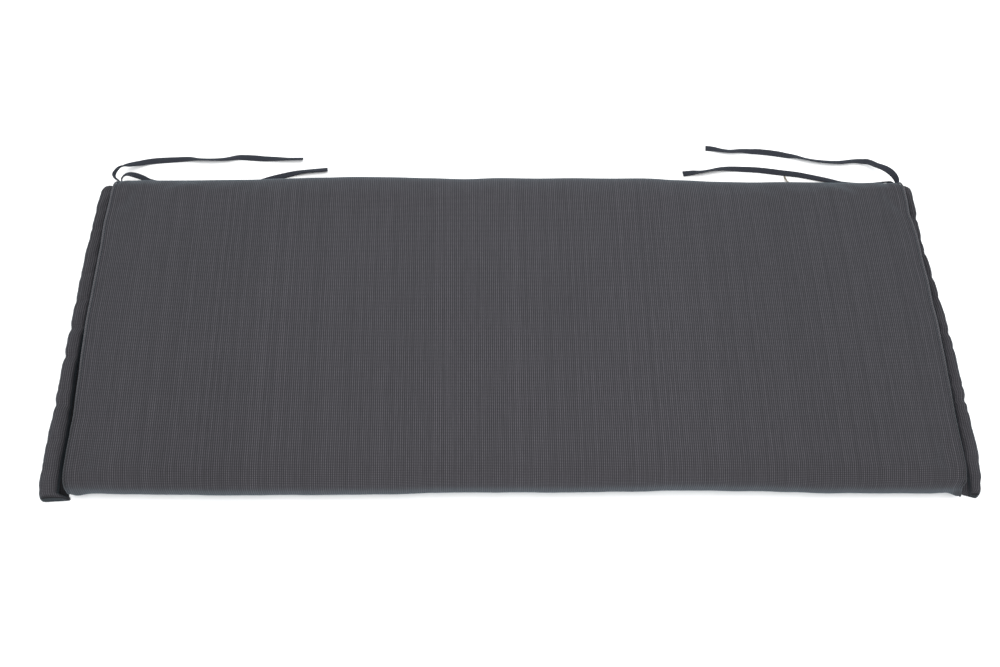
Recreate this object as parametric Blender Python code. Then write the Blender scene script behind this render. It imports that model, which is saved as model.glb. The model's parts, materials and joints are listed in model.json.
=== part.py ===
"""Bench cushion: a thin filled seat pad with a soft flap along each short side and four flat ties.

Metres, +Z up. The cushion lies on the plane z = 0 with its length along X and its front towards -Y. The origin
is on that plane, under the middle of the pad.
"""

import math

import bmesh
import bpy
from mathutils import Vector

# Driving dimensions of the pad.
PAD_LENGTH = 1.200
PAD_DEPTH = 0.500
PAD_THICKNESS = 0.047
EDGE_RADIUS = 0.018  # where the cloth turns over the front and the back
LENGTH_CROWN = 0.004  # how much thicker the middle is than the short sides
DEPTH_CROWN = 0.003  # how much the top rises between the front and the back
END_DEPTH_CROWN = 0.4  # the share of that rise which is left at the short sides
END_BOW = 0.003  # how far a short side bows out at mid depth
EDGE_BOW = 0.002  # how far the front and the back bow out at mid length
END_DOME = 0.002  # how far an end panel swells at its middle
SEAM_CHAMFER = 0.004  # the corner that an end seam takes up
EDGE_STEPS = 6
LENGTH_SLICES = 30
DEPTH_SLICES = 10
END_SLICES = 3
SAME_PLACE = 1e-5  # places closer than this count as one

# End seams: a narrow welt in the chamfered corner.
WELT_RADIUS = 0.0015
WELT_INSET = 0.0006  # its centre line, inside the pad's sharp corner
WELT_FOOT = 0.007  # height at which it ends at the front and the back
WELT_TOP_STEPS = 10
WELT_FOOT_STEPS = 3

# Side flaps.
FLAP_FRONT = -0.2555
FLAP_BACK = 0.2590
FLAP_SLICES = 54
FLAP_RING_POINTS = 12
FLAP_SQUARENESS = 2.8  # exponent of the section's superellipse
FLAP_WIDEST_AT = 0.4  # height of the widest line, as a share of the flap's height
FLAP_FLATNESS = 1.2  # above 1 the section lies on the surface along a strip, not a line
FLAP_END_LENGTH = 0.009  # how far from each end the section starts to shrink
FLAP_END_SHARE = 0.74  # the end's section, as a share of the full one
FLAP_END_OFFSETS = (0.0, 0.0025, 0.0055)
PUCKER_DROP = 0.5  # how far a pucker presses the top down, as a share of its depth
SEWN_GAP = 0.0004  # between a flap and the end panel it is sewn to

# Flap sections from front to back: place along Y, reach past the end panel, height.
FLAP_SECTIONS = {
    "left": (
        (-0.258, 0.0385, 0.0150),
        (-0.225, 0.0415, 0.0155),
        (-0.150, 0.0400, 0.0140),
        (-0.080, 0.0375, 0.0135),
        (0.000, 0.0350, 0.0125),
        (0.090, 0.0335, 0.0120),
        (0.170, 0.0305, 0.0120),
        (0.230, 0.0285, 0.0125),
        (0.260, 0.0255, 0.0110),
    ),
    "right": (
        (-0.258, 0.0300, 0.0145),
        (-0.225, 0.0335, 0.0150),
        (-0.190, 0.0365, 0.0135),
        (-0.120, 0.0345, 0.0130),
        (-0.060, 0.0350, 0.0130),
        (0.020, 0.0320, 0.0125),
        (0.090, 0.0265, 0.0120),
        (0.160, 0.0225, 0.0120),
        (0.230, 0.0260, 0.0125),
        (0.260, 0.0225, 0.0110),
    ),
}

# Puckers in a flap's outer edge: place along Y, depth, half width.
FLAP_PUCKERS = {
    "left": (
        (0.174, 0.0020, 0.010),
        (0.072, 0.0012, 0.012),
        (0.004, 0.0022, 0.010),
        (-0.043, 0.0025, 0.010),
        (-0.120, 0.0022, 0.010),
        (-0.158, 0.0028, 0.012),
        (-0.206, 0.0014, 0.010),
    ),
    "right": (
        (0.204, 0.0022, 0.011),
        (0.155, 0.0016, 0.010),
        (0.088, 0.0022, 0.010),
        (0.036, 0.0014, 0.010),
        (-0.012, 0.0022, 0.010),
        (-0.068, 0.0014, 0.010),
        (-0.112, 0.0024, 0.010),
        (-0.161, 0.0022, 0.010),
        (-0.206, 0.0016, 0.010),
    ),
}

# Flat bands: width, thickness and the number of points in each band's solid.
TIE_WIDTH = 0.010
TIE_THICKNESS = 0.002
TIE_POINTS = 19
TAB_WIDTH = 0.003
TAB_THICKNESS = 0.0012
TAB_POINTS = 4
ROUTE_STEPS = 40  # fine steps between two rows of a route, from which the points are picked

# Band routes from the pad to the free end: x, y, lift of the band's lower edge above the surface, and turn in
# degrees. A band with turn 0 stands on its edge, a band with turn 90 lies flat, and between them its upper edge
# leans towards the front.
ROUTES = {
    "tie_left_long": (
        (-0.5950, 0.2514, 0.0250, 0),
        (-0.5995, 0.2545, 0.0258, 4),
        (-0.6046, 0.2620, 0.0240, 16),
        (-0.6050, 0.2714, 0.0210, 28),
        (-0.6022, 0.2830, 0.0160, 38),
        (-0.5952, 0.2935, 0.0105, 55),
        (-0.5833, 0.3015, 0.0055, 82),
        (-0.5680, 0.3078, 0.0020, 94),
        (-0.5472, 0.3122, 0.0, 98),
        (-0.5074, 0.3154, 0.0, 82),
        (-0.4882, 0.3136, 0.0, 52),
        (-0.4662, 0.3131, 0.0, 50),
        (-0.4447, 0.3147, 0.0, 62),
        (-0.4237, 0.3195, 0.0, 85),
        (-0.3988, 0.3180, 0.0, 96),
        (-0.3737, 0.3164, 0.0, 78),
        (-0.3483, 0.3151, 0.0, 54),
        (-0.3250, 0.3154, 0.0, 52),
    ),
    "tie_left_low": (
        (-0.5912, 0.2512, 0.0215, 0),
        (-0.5928, 0.2571, 0.0226, 14),
        (-0.5900, 0.2648, 0.0220, 50),
        (-0.5840, 0.2704, 0.0200, 80),
        (-0.5760, 0.2722, 0.0160, 90),
        (-0.5665, 0.2722, 0.0095, 86),
        (-0.5553, 0.2706, 0.0020, 66),
        (-0.5300, 0.2666, 0.0, 55),
        (-0.4900, 0.2638, 0.0, 70),
        (-0.4400, 0.2650, 0.0, 88),
        (-0.4130, 0.2672, 0.0, 90),
        (-0.3938, 0.2700, 0.0, 90),
        (-0.3728, 0.2781, 0.0, 92),
        (-0.3455, 0.2866, 0.0, 86),
        (-0.3224, 0.2912, 0.0, 62),
        (-0.2857, 0.2955, 0.0, 66),
    ),
    "tie_right_long": (
        (0.5950, 0.2510, 0.0250, 0),
        (0.5968, 0.2560, 0.0252, 8),
        (0.5960, 0.2650, 0.0245, 32),
        (0.5918, 0.2768, 0.0225, 62),
        (0.5850, 0.2884, 0.0190, 84),
        (0.5768, 0.2998, 0.0125, 98),
        (0.5646, 0.3126, 0.0050, 98),
        (0.5466, 0.3161, 0.0005, 68),
        (0.5204, 0.3133, 0.0, 60),
        (0.4925, 0.3150, 0.0, 54),
        (0.4701, 0.3192, 0.0, 48),
        (0.4538, 0.3247, 0.0, 66),
        (0.4317, 0.3298, 0.0, 96),
        (0.3953, 0.3350, 0.0, 98),
        (0.3698, 0.3360, 0.0, 72),
        (0.3500, 0.3346, 0.0, 62),
        (0.3361, 0.3367, 0.0, 68),
        (0.3224, 0.3406, 0.0, 84),
        (0.3119, 0.3420, 0.0, 92),
    ),
    "tie_right_low": (
        (0.5912, 0.2522, 0.0210, 0),
        (0.5890, 0.2560, 0.0220, 22),
        (0.5820, 0.2602, 0.0190, 44),
        (0.5720, 0.2640, 0.0110, 55),
        (0.5560, 0.2680, 0.0030, 50),
        (0.5330, 0.2717, 0.0, 46),
        (0.5162, 0.2739, 0.0, 58),
        (0.4952, 0.2800, 0.0, 76),
        (0.4585, 0.2892, 0.0, 92),
        (0.4273, 0.2937, 0.0, 96),
        (0.3911, 0.2988, 0.0, 96),
        (0.3564, 0.3010, 0.0, 86),
        (0.3338, 0.3000, 0.0, 66),
        (0.3140, 0.2961, 0.0, 46),
        (0.2996, 0.2934, 0.0, 52),
        (0.2858, 0.2928, 0.0, 78),
        (0.2713, 0.2912, 0.0, 88),
    ),
    "back_tab": (
        (0.4380, 0.2522, 0.0190, 90),
        (0.4360, 0.2640, 0.0120, 90),
        (0.4335, 0.2765, 0.0030, 90),
        (0.4318, 0.2870, 0.0, 90),
    ),
}

# Colours: base colour, roughness.
CLOTH = ("anthracite cloth", (0.072, 0.071, 0.080, 1.0), 0.88)
WELT_CLOTH = ("welt cloth", (0.110, 0.108, 0.118, 1.0), 0.80)
BAND_CLOTH = ("band cloth", (0.040, 0.043, 0.050, 1.0), 0.85)
TAB_CLOTH = ("tab cloth", (0.190, 0.165, 0.130, 1.0), 0.75)


def clear_scene():
    for obj in list(bpy.data.objects):
        bpy.data.objects.remove(obj)


def new_collection(name):
    collection = bpy.data.collections.new(name)
    bpy.context.scene.collection.children.link(collection)
    return collection


def new_material(name, base_color, roughness):
    material = bpy.data.materials.new(name)
    material.use_nodes = True
    shader = material.node_tree.nodes["Principled BSDF"]
    shader.inputs["Base Color"].default_value = base_color
    shader.inputs["Roughness"].default_value = roughness
    shader.inputs["Metallic"].default_value = 0.0
    material.diffuse_color = base_color
    return material


def add_object(name, data, material, collection):
    data.materials.append(material)
    obj = bpy.data.objects.new(name, data)
    collection.objects.link(obj)
    return obj


def between(low, high, share):
    return low + (high - low) * share


def sign(value):
    return math.copysign(1.0, value)


# --- Pad -------------------------------------------------------------------------------------------------------


def end_dome(y, z):
    """How far an end panel swells past its seam at this place."""
    half_depth = PAD_DEPTH / 2 - SEAM_CHAMFER
    half_height = PAD_THICKNESS / 2 - SEAM_CHAMFER
    across = 1 - (y / half_depth) ** 2
    up = 1 - ((z - PAD_THICKNESS / 2) / half_height) ** 2
    return END_DOME * max(across, 0.0) * max(up, 0.0)


def end_bow(y):
    """How far a short side stands past its corners at this depth."""
    return END_BOW * max(1 - (2 * y / PAD_DEPTH) ** 2, 0.0)


def softened(point):
    """The place that a point of the sharp-cornered pad takes once the pad is filled."""
    along = 2 * point.x / PAD_LENGTH
    across = 2 * point.y / PAD_DEPTH
    mid_length = max(1 - along**4, 0.0)
    mid_depth = max(1 - across**2, 0.0)
    depth_crown = DEPTH_CROWN * between(END_DEPTH_CROWN, 1.0, mid_length)
    crown = LENGTH_CROWN * mid_length + depth_crown * mid_depth
    return Vector(
        (
            point.x + end_bow(point.y) * along**3,
            point.y + EDGE_BOW * mid_length * across,
            point.z * (1 + crown / PAD_THICKNESS),
        )
    )


def slice_along(bm, axis, places, is_cut=None):
    """Cuts the mesh, or the faces that is_cut picks, by planes across an axis."""
    for place in places:
        faces = [face for face in bm.faces if is_cut is None or is_cut(face)]
        edges = {edge for face in faces for edge in face.edges}
        verts = {vert for face in faces for vert in face.verts}
        plane = Vector((0, 0, 0))
        plane[axis] = place
        normal = Vector((0, 0, 0))
        normal[axis] = 1
        bmesh.ops.bisect_plane(
            bm, geom=faces + list(edges) + list(verts), plane_co=plane, plane_no=normal, dist=SAME_PLACE / 10
        )


def even_places(half_length, count):
    """Places that part a length about zero into this many equal pieces."""
    return [between(-half_length, half_length, index / count) for index in range(1, count)]


def is_end_panel(face):
    """True for a face that lies in the plane of a short side."""
    places = [vert.co.x for vert in face.verts]
    return max(places) - min(places) < SAME_PLACE and abs(abs(places[0]) - PAD_LENGTH / 2) < SAME_PLACE


def build_pad(material, collection):
    """One filled solid: a slab with rounded front and back, chamfered ends, a crown and bowed sides."""
    bm = bmesh.new()
    bmesh.ops.create_cube(bm, size=1.0)
    bmesh.ops.scale(bm, vec=(PAD_LENGTH, PAD_DEPTH, PAD_THICKNESS), verts=bm.verts)
    bmesh.ops.translate(bm, vec=(0, 0, PAD_THICKNESS / 2), verts=bm.verts)

    long_edges = [edge for edge in bm.edges if abs(edge.verts[0].co.x - edge.verts[1].co.x) > PAD_LENGTH / 2]
    bmesh.ops.bevel(
        bm, geom=long_edges, offset=EDGE_RADIUS, segments=EDGE_STEPS, profile=0.5, affect="EDGES"
    )
    seams = [edge for edge in bm.edges if sum(is_end_panel(face) for face in edge.link_faces) == 1]
    bmesh.ops.bevel(bm, geom=seams, offset=SEAM_CHAMFER, segments=1, profile=0.5, affect="EDGES")

    slice_along(bm, 0, even_places(PAD_LENGTH / 2, LENGTH_SLICES))
    slice_along(bm, 1, even_places(PAD_DEPTH / 2 - EDGE_RADIUS, DEPTH_SLICES))
    end_heights = [PAD_THICKNESS * index / (END_SLICES + 1) for index in range(1, END_SLICES + 1)]
    slice_along(bm, 2, end_heights, is_cut=is_end_panel)

    for vert in bm.verts:
        on_end = abs(abs(vert.co.x) - PAD_LENGTH / 2) < SAME_PLACE
        dome = end_dome(vert.co.y, vert.co.z) * sign(vert.co.x) if on_end else 0.0
        vert.co = softened(vert.co)
        vert.co.x += dome

    mesh = bpy.data.meshes.new("pad")
    bm.to_mesh(mesh)
    bm.free()
    mesh.shade_smooth()
    return add_object("pad", mesh, material, collection)


# --- End seams -------------------------------------------------------------------------------------------------


def seam_outline():
    """Centre line of an end seam as (y, z), from its front foot over the top to its back foot."""
    radius = EDGE_RADIUS - WELT_INSET
    centre_y = PAD_DEPTH / 2 - EDGE_RADIUS
    lower_z = EDGE_RADIUS
    upper_z = PAD_THICKNESS - EDGE_RADIUS
    foot_angle = -math.asin((EDGE_RADIUS - WELT_FOOT) / radius)
    side = []
    for step in range(WELT_FOOT_STEPS + 1):
        angle = between(foot_angle, 0.0, step / WELT_FOOT_STEPS)
        side.append((centre_y + radius * math.cos(angle), lower_z + radius * math.sin(angle)))
    for step in range(EDGE_STEPS + 1):
        angle = math.pi / 2 * step / EDGE_STEPS
        side.append((centre_y + radius * math.cos(angle), upper_z + radius * math.sin(angle)))
    top = [
        (between(-centre_y, centre_y, step / WELT_TOP_STEPS), upper_z + radius)
        for step in range(1, WELT_TOP_STEPS)
    ]
    front = [(-y, z) for y, z in side]
    return front + top + side[::-1]


def build_welt(side, direction, material, collection):
    """The raised seam between the top and an end panel."""
    points = [
        softened(Vector((direction * (PAD_LENGTH / 2 - WELT_INSET), y, z))) for y, z in seam_outline()
    ]
    curve = bpy.data.curves.new(f"end_welt_{side}", "CURVE")
    curve.dimensions = "3D"
    curve.bevel_depth = WELT_RADIUS
    curve.bevel_resolution = 2
    curve.use_fill_caps = True
    spline = curve.splines.new("POLY")
    spline.points.add(len(points) - 1)
    for target, point in zip(spline.points, points):
        target.co = (*point, 1.0)
    return add_object(curve.name, curve, material, collection)


# --- Side flaps ------------------------------------------------------------------------------------------------


def smooth_row(rows, place):
    """The table's values at this place: an eased blend of the two rows around it."""
    place = min(max(place, rows[0][0]), rows[-1][0])
    for low, high in zip(rows, rows[1:]):
        if place <= high[0]:
            share = (place - low[0]) / (high[0] - low[0])
            eased = share * share * (3 - 2 * share)
            return [between(a, b, eased) for a, b in zip(low[1:], high[1:])]
    return list(rows[-1][1:])


def pucker_depth(side, y):
    return sum(
        depth * math.exp(-(((y - place) / half_width) ** 2)) for place, depth, half_width in FLAP_PUCKERS[side]
    )


def flap_end_share(y):
    """How much of the full section is left this near to an end."""
    from_end = min(y - FLAP_FRONT, FLAP_BACK - y)
    shrink = max(1 - from_end / FLAP_END_LENGTH, 0.0)
    return 1 - (1 - FLAP_END_SHARE) * shrink**2


def flap_stations():
    """Places of the flap's sections along Y, closer at its ends."""
    first = FLAP_FRONT + FLAP_END_LENGTH
    last = FLAP_BACK - FLAP_END_LENGTH
    middle = [between(first, last, step / FLAP_SLICES) for step in range(FLAP_SLICES + 1)]
    front = [FLAP_FRONT + offset for offset in FLAP_END_OFFSETS]
    back = [FLAP_BACK - offset for offset in reversed(FLAP_END_OFFSETS)]
    return front + middle + back


def flap_ring(side, direction, y):
    """One section of a flap: a rounded form that is flat where it lies on the surface."""
    reach, height = smooth_row(FLAP_SECTIONS[side], y)
    pucker = pucker_depth(side, y)
    share = flap_end_share(y)
    full_height = height - PUCKER_DROP * pucker
    swell = max(end_bow(y) + end_dome(y, height), WELT_RADIUS - WELT_INSET)
    inner = PAD_LENGTH / 2 + swell + SEWN_GAP
    outer = PAD_LENGTH / 2 + reach - pucker
    centre = (inner + outer) / 2
    half_width = (outer - inner) / 2 * share
    top = full_height * share
    widest = FLAP_WIDEST_AT * top
    ring = []
    for index in range(FLAP_RING_POINTS):
        angle = 2 * math.pi * index / FLAP_RING_POINTS
        cosine, sine = math.cos(angle), math.sin(angle)
        across = sign(cosine) * abs(cosine) ** (2 / FLAP_SQUARENESS)
        up = abs(sine) ** (2 / FLAP_SQUARENESS)
        if sine >= 0:
            z = between(widest, top, up)
        else:
            z = widest * (1 - min(FLAP_FLATNESS * up, 1.0))
        ring.append(Vector((direction * (centre + half_width * across), y, z)))
    return ring


def build_flap(side, direction, material, collection):
    """A loft through the flap's sections, closed at both ends."""
    bm = bmesh.new()
    rings = []
    for y in flap_stations():
        rings.append([bm.verts.new(point) for point in flap_ring(side, direction, y)])
    for ring, following in zip(rings, rings[1:]):
        for index in range(FLAP_RING_POINTS):
            after = (index + 1) % FLAP_RING_POINTS
            bm.faces.new((ring[index], ring[after], following[after], following[index]))
    bm.faces.new(rings[0])
    bm.faces.new(rings[-1])
    bmesh.ops.recalc_face_normals(bm, faces=bm.faces)
    mesh = bpy.data.meshes.new(f"side_flap_{side}")
    bm.to_mesh(mesh)
    bm.free()
    mesh.shade_smooth()
    return add_object(mesh.name, mesh, material, collection)


# --- Bands -----------------------------------------------------------------------------------------------------


def band_row(rows, place):
    """The route's row at a place counted in rows, on a smooth curve through them all."""
    index = min(int(place), len(rows) - 2)
    share = place - index
    before = rows[max(index - 1, 0)]
    start = rows[index]
    end = rows[index + 1]
    after = rows[min(index + 2, len(rows) - 1)]
    return [
        b + 0.5 * share * (c - a + share * (2 * a - 5 * b + 4 * c - d + share * (3 * (b - c) + d - a)))
        for a, b, c, d in zip(before, start, end, after)
    ]


def band_point(row, width, thickness):
    """Centre of the band and its turn in radians: the lower edge is at the row's lift."""
    x, y, lift, degrees = row
    turn = math.radians(degrees)
    half_height = (width * abs(math.cos(turn)) + thickness * abs(math.sin(turn))) / 2
    return Vector((x, y, max(lift, 0.0) + half_height)), turn


def band_points(rows, width, thickness, count):
    """Evenly spaced (centre, turn) pairs along a band's route."""
    fine_steps = ROUTE_STEPS * (len(rows) - 1)
    fine = [
        band_point(band_row(rows, step * (len(rows) - 1) / fine_steps), width, thickness)
        for step in range(fine_steps + 1)
    ]
    lengths = [0.0]
    for (start, _), (end, _) in zip(fine, fine[1:]):
        lengths.append(lengths[-1] + (end - start).length)
    picked = []
    index = 0
    for step in range(count):
        wanted = lengths[-1] * step / (count - 1)
        while index < fine_steps and lengths[index] < wanted:
            index += 1
        picked.append(fine[index])
    return picked


def build_band(name, width, thickness, count, material, collection):
    """A flat band with rounded edges and blunt ends, which follows its route and its turns."""
    rows = ROUTES[name]
    points = band_points(rows, width, thickness, count)
    direction = sign(rows[-1][0] - rows[0][0])
    curve = bpy.data.curves.new(name, "CURVE")
    curve.dimensions = "3D"
    curve.twist_mode = "Z_UP"
    curve.extrude = (width - thickness) / 2
    curve.bevel_depth = thickness / 2
    curve.bevel_resolution = 1
    curve.use_fill_caps = True
    spline = curve.splines.new("POLY")
    spline.points.add(len(points) - 1)
    for target, (centre, turn) in zip(spline.points, points):
        target.co = (*centre, 1.0)
        target.tilt = turn * direction
    return add_object(name, curve, material, collection)


def main():
    clear_scene()
    collection = new_collection("Bench cushion")
    cloth = new_material(*CLOTH)
    welt_cloth = new_material(*WELT_CLOTH)
    band_cloth = new_material(*BAND_CLOTH)
    tab_cloth = new_material(*TAB_CLOTH)

    build_pad(cloth, collection)
    for side, direction in (("left", -1), ("right", 1)):
        build_welt(side, direction, welt_cloth, collection)
        build_flap(side, direction, cloth, collection)
        for reach in ("long", "low"):
            build_band(
                f"tie_{side}_{reach}", TIE_WIDTH, TIE_THICKNESS, TIE_POINTS, band_cloth, collection
            )
    build_band("back_tab", TAB_WIDTH, TAB_THICKNESS, TAB_POINTS, tab_cloth, collection)


main()
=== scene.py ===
"""Bench cushion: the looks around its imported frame.

Metres, +Z up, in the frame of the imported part: the cushion lies on the plane z = 0 with its length along
X and its front towards -Y. Each sub-assembly is a class that builds its meshes and dresses them; what
follows a path (seam welts, bands, stitches) is made by Geometry Nodes.
"""

import sys

import json
import logging
import math
from collections.abc import Iterator, Sequence
from dataclasses import dataclass, field
from enum import Enum, IntEnum

import bpy
import numpy as np
from mathutils import Matrix, Vector

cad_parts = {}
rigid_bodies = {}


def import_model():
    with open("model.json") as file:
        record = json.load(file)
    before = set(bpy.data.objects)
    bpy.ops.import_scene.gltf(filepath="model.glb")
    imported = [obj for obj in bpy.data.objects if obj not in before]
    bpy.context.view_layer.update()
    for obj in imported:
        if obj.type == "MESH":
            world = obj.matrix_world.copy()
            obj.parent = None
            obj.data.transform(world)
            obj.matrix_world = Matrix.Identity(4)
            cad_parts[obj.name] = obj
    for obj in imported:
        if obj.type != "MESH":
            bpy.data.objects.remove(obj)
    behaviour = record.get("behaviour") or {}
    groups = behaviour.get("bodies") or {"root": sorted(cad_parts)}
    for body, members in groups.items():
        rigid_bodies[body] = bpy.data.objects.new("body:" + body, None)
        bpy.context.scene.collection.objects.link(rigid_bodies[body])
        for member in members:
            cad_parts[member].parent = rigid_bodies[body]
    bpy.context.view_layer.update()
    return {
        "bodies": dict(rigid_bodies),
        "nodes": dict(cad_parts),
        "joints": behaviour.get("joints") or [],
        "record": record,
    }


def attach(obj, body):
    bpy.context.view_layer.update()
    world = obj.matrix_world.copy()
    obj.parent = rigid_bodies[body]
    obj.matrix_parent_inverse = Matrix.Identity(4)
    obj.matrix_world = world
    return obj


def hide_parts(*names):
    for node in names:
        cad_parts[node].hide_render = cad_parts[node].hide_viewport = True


LOG = logging.getLogger("bench_cushion")

Color = tuple[float, float, float]
Rows = tuple[tuple[float, ...], ...]
Span = tuple[float, float]
Object = bpy.types.Object
Socket = bpy.types.NodeSocket
Value = Socket | float | int | bool | str | tuple[float, ...] | bpy.types.ID
Inputs = dict[str | int, Value]

BODY = "root"
UV_NAME = "UVMap"
ACROSS_NAME = "across"
# Name of the mask of painted shade on the flaps: the crease beside the pad and the front end.
SHADE_MASK_NAME = "crease"
MILLIMETRE = 0.001
TINY = 1e-12  # keeps a division by a length away from zero
SHARP_ANGLE = math.radians(50.0)
PANEL_UV = 2.0  # where the end panels' cloth lies along U
CAP_UV = 3.0  # where the cloth of the flaps' ends lies along V
BAND_AT_SCALE_ONE = 0.314  # width of one band of a wave texture

# Band routes from the pad to the free end, the same as in the part's source: x, y, lift of the band's
# lower edge above the surface, and turn in degrees. A band with turn 0 stands on its edge, a band with
# turn 90 lies flat, and between them its upper edge leans towards the front. Only the turns nearest the
# pad differ from the source.
ROUTES: dict[str, Rows] = {
    "tie_left_long": (
        (-0.5950, 0.2514, 0.0250, -20),
        (-0.5995, 0.2545, 0.0258, -28),
        (-0.6046, 0.2620, 0.0240, -18),
        (-0.6050, 0.2714, 0.0210, 4),
        (-0.6022, 0.2830, 0.0160, 22),
        (-0.5952, 0.2935, 0.0105, 66),
        (-0.5833, 0.3015, 0.0055, 82),
        (-0.5680, 0.3078, 0.0020, 94),
        (-0.5472, 0.3122, 0.0, 98),
        (-0.5074, 0.3154, 0.0, 82),
        (-0.4882, 0.3136, 0.0, 52),
        (-0.4662, 0.3131, 0.0, 50),
        (-0.4447, 0.3147, 0.0, 62),
        (-0.4237, 0.3195, 0.0, 85),
        (-0.3988, 0.3180, 0.0, 96),
        (-0.3737, 0.3164, 0.0, 78),
        (-0.3483, 0.3151, 0.0, 54),
        (-0.3250, 0.3154, 0.0, 52),
    ),
    "tie_left_low": (
        (-0.5912, 0.2512, 0.0215, 0),
        (-0.5928, 0.2571, 0.0226, 14),
        (-0.5900, 0.2648, 0.0220, 50),
        (-0.5840, 0.2704, 0.0200, 80),
        (-0.5760, 0.2722, 0.0160, 90),
        (-0.5665, 0.2722, 0.0095, 86),
        (-0.5553, 0.2706, 0.0020, 66),
        (-0.5300, 0.2666, 0.0, 55),
        (-0.4900, 0.2638, 0.0, 70),
        (-0.4400, 0.2650, 0.0, 88),
        (-0.4130, 0.2672, 0.0, 90),
        (-0.3938, 0.2700, 0.0, 90),
        (-0.3728, 0.2781, 0.0, 92),
        (-0.3455, 0.2866, 0.0, 86),
        (-0.3224, 0.2912, 0.0, 62),
        (-0.2857, 0.2955, 0.0, 66),
    ),
    "tie_right_long": (
        (0.5950, 0.2510, 0.0250, 162),
        (0.5968, 0.2560, 0.0252, 160),
        (0.5960, 0.2650, 0.0245, 150),
        (0.5918, 0.2768, 0.0225, 132),
        (0.5850, 0.2884, 0.0190, 112),
        (0.5768, 0.2998, 0.0125, 98),
        (0.5646, 0.3126, 0.0050, 98),
        (0.5466, 0.3161, 0.0005, 68),
        (0.5204, 0.3133, 0.0, 60),
        (0.4925, 0.3150, 0.0, 54),
        (0.4701, 0.3192, 0.0, 48),
        (0.4538, 0.3247, 0.0, 66),
        (0.4317, 0.3298, 0.0, 96),
        (0.3953, 0.3350, 0.0, 98),
        (0.3698, 0.3360, 0.0, 72),
        (0.3500, 0.3346, 0.0, 62),
        (0.3361, 0.3367, 0.0, 68),
        (0.3224, 0.3406, 0.0, 84),
        (0.3119, 0.3420, 0.0, 92),
    ),
    "tie_right_low": (
        (0.5912, 0.2522, 0.0210, 0),
        (0.5890, 0.2560, 0.0220, 22),
        (0.5820, 0.2602, 0.0190, 44),
        (0.5720, 0.2640, 0.0110, 55),
        (0.5560, 0.2680, 0.0030, 50),
        (0.5330, 0.2717, 0.0, 46),
        (0.5162, 0.2739, 0.0, 58),
        (0.4952, 0.2800, 0.0, 76),
        (0.4585, 0.2892, 0.0, 92),
        (0.4273, 0.2937, 0.0, 96),
        (0.3911, 0.2988, 0.0, 96),
        (0.3564, 0.3010, 0.0, 86),
        (0.3338, 0.3000, 0.0, 66),
        (0.3140, 0.2961, 0.0, 46),
        (0.2996, 0.2934, 0.0, 52),
        (0.2858, 0.2928, 0.0, 78),
        (0.2713, 0.2912, 0.0, 88),
    ),
    "back_tab": (
        (0.4380, 0.2522, 0.0190, 90),
        (0.4360, 0.2640, 0.0120, 90),
        (0.4335, 0.2765, 0.0030, 90),
        (0.4318, 0.2870, 0.0, 90),
    ),
}


class Side(Enum):
    """A short side of the cushion, with its direction along X."""

    LEFT = -1
    RIGHT = 1

    @property
    def label(self) -> str:
        """The word that piece names use for this side."""
        return self.name.lower()


class Slot(Enum):
    """The record's material slots."""

    COVER = "cover_cloth"
    WELT = "seam_welt"
    FLAP = "flap_cloth"
    TIE = "tie_band"
    TAB = "tab_band"


class Seed(IntEnum):
    """Seeds of the cloth's waves and of the stitch rows."""

    SWELL_ALONG = 3
    SWELL_ACROSS = 5
    GATHERS = 11
    FRONT_RIPPLES = 23
    WELT = 31
    SEAM_STITCHES = 40
    FLAP_STITCHES = 50
    FLAP_EDGE = 51
    FLAP_TOP = 61


# --- Small helpers --------------------------------------------------------------------------------


def smooth_step(values: np.ndarray, low: float | np.ndarray, high: float | np.ndarray) -> np.ndarray:
    """0 up to low and 1 from high on, eased between them."""
    share = np.clip((values - low) / (high - low), 0.0, 1.0)
    return share * share * (3 - 2 * share)


def eased(rows: Rows, places: np.ndarray) -> np.ndarray:
    """Values of a table at the given places: an eased blend of the two rows around each.

    Args:
        rows: A table whose first column is the place and whose other columns are the values.
        places: Where the values are wanted.

    Returns:
        One row of values for each place.
    """
    table = np.array(rows, float)
    keys = table[:, 0]
    places = np.clip(places, keys[0], keys[-1])
    upper = np.clip(np.searchsorted(keys, places), 1, len(keys) - 1)
    share = smooth_step(places, keys[upper - 1], keys[upper])[..., None]
    return table[upper - 1, 1:] * (1 - share) + table[upper, 1:] * share


def smooth_curve(rows: np.ndarray, places: np.ndarray) -> np.ndarray:
    """Rows at fractional places, counted from 0 to the last row, on a Catmull-Rom curve through them."""
    last = len(rows) - 1
    index = np.clip(places.astype(int), 0, last - 1)
    share = (places - index)[:, None]
    a = rows[np.maximum(index - 1, 0)]
    b = rows[index]
    c = rows[index + 1]
    d = rows[np.minimum(index + 2, last)]
    bend = 2 * a - 5 * b + 4 * c - d + share * (3 * (b - c) + d - a)
    return b + 0.5 * share * (c - a + share * bend)


def lengths_along(points: np.ndarray) -> np.ndarray:
    """How far along the line through these points each of them lies."""
    steps = np.linalg.norm(np.diff(points, axis=0), axis=1)
    return np.concatenate([[0.0], np.cumsum(steps)])


def line_length(points: np.ndarray) -> float:
    """Length of the line through these points."""
    return float(lengths_along(points)[-1])


def columns_at(wanted: np.ndarray, keys: np.ndarray, columns: np.ndarray) -> np.ndarray:
    """The columns' values, read off between their keys, one row for each wanted key."""
    return np.stack([np.interp(wanted, keys, values) for values in columns.T], axis=1)


def evenly(points: np.ndarray, columns: np.ndarray, count: int) -> tuple[np.ndarray, np.ndarray]:
    """Picks evenly spaced places along a fine line.

    Args:
        points: The fine line's points.
        columns: Further values at each of those points.
        count: How many places are wanted.

    Returns:
        The points and the further values at those places.
    """
    lengths = lengths_along(points)
    wanted = np.linspace(0.0, lengths[-1], count)
    return columns_at(wanted, lengths, points), columns_at(wanted, lengths, columns)


def normalized(vectors: np.ndarray) -> np.ndarray:
    """The same vectors with length 1."""
    return vectors / np.maximum(np.linalg.norm(vectors, axis=-1, keepdims=True), TINY)


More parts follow.
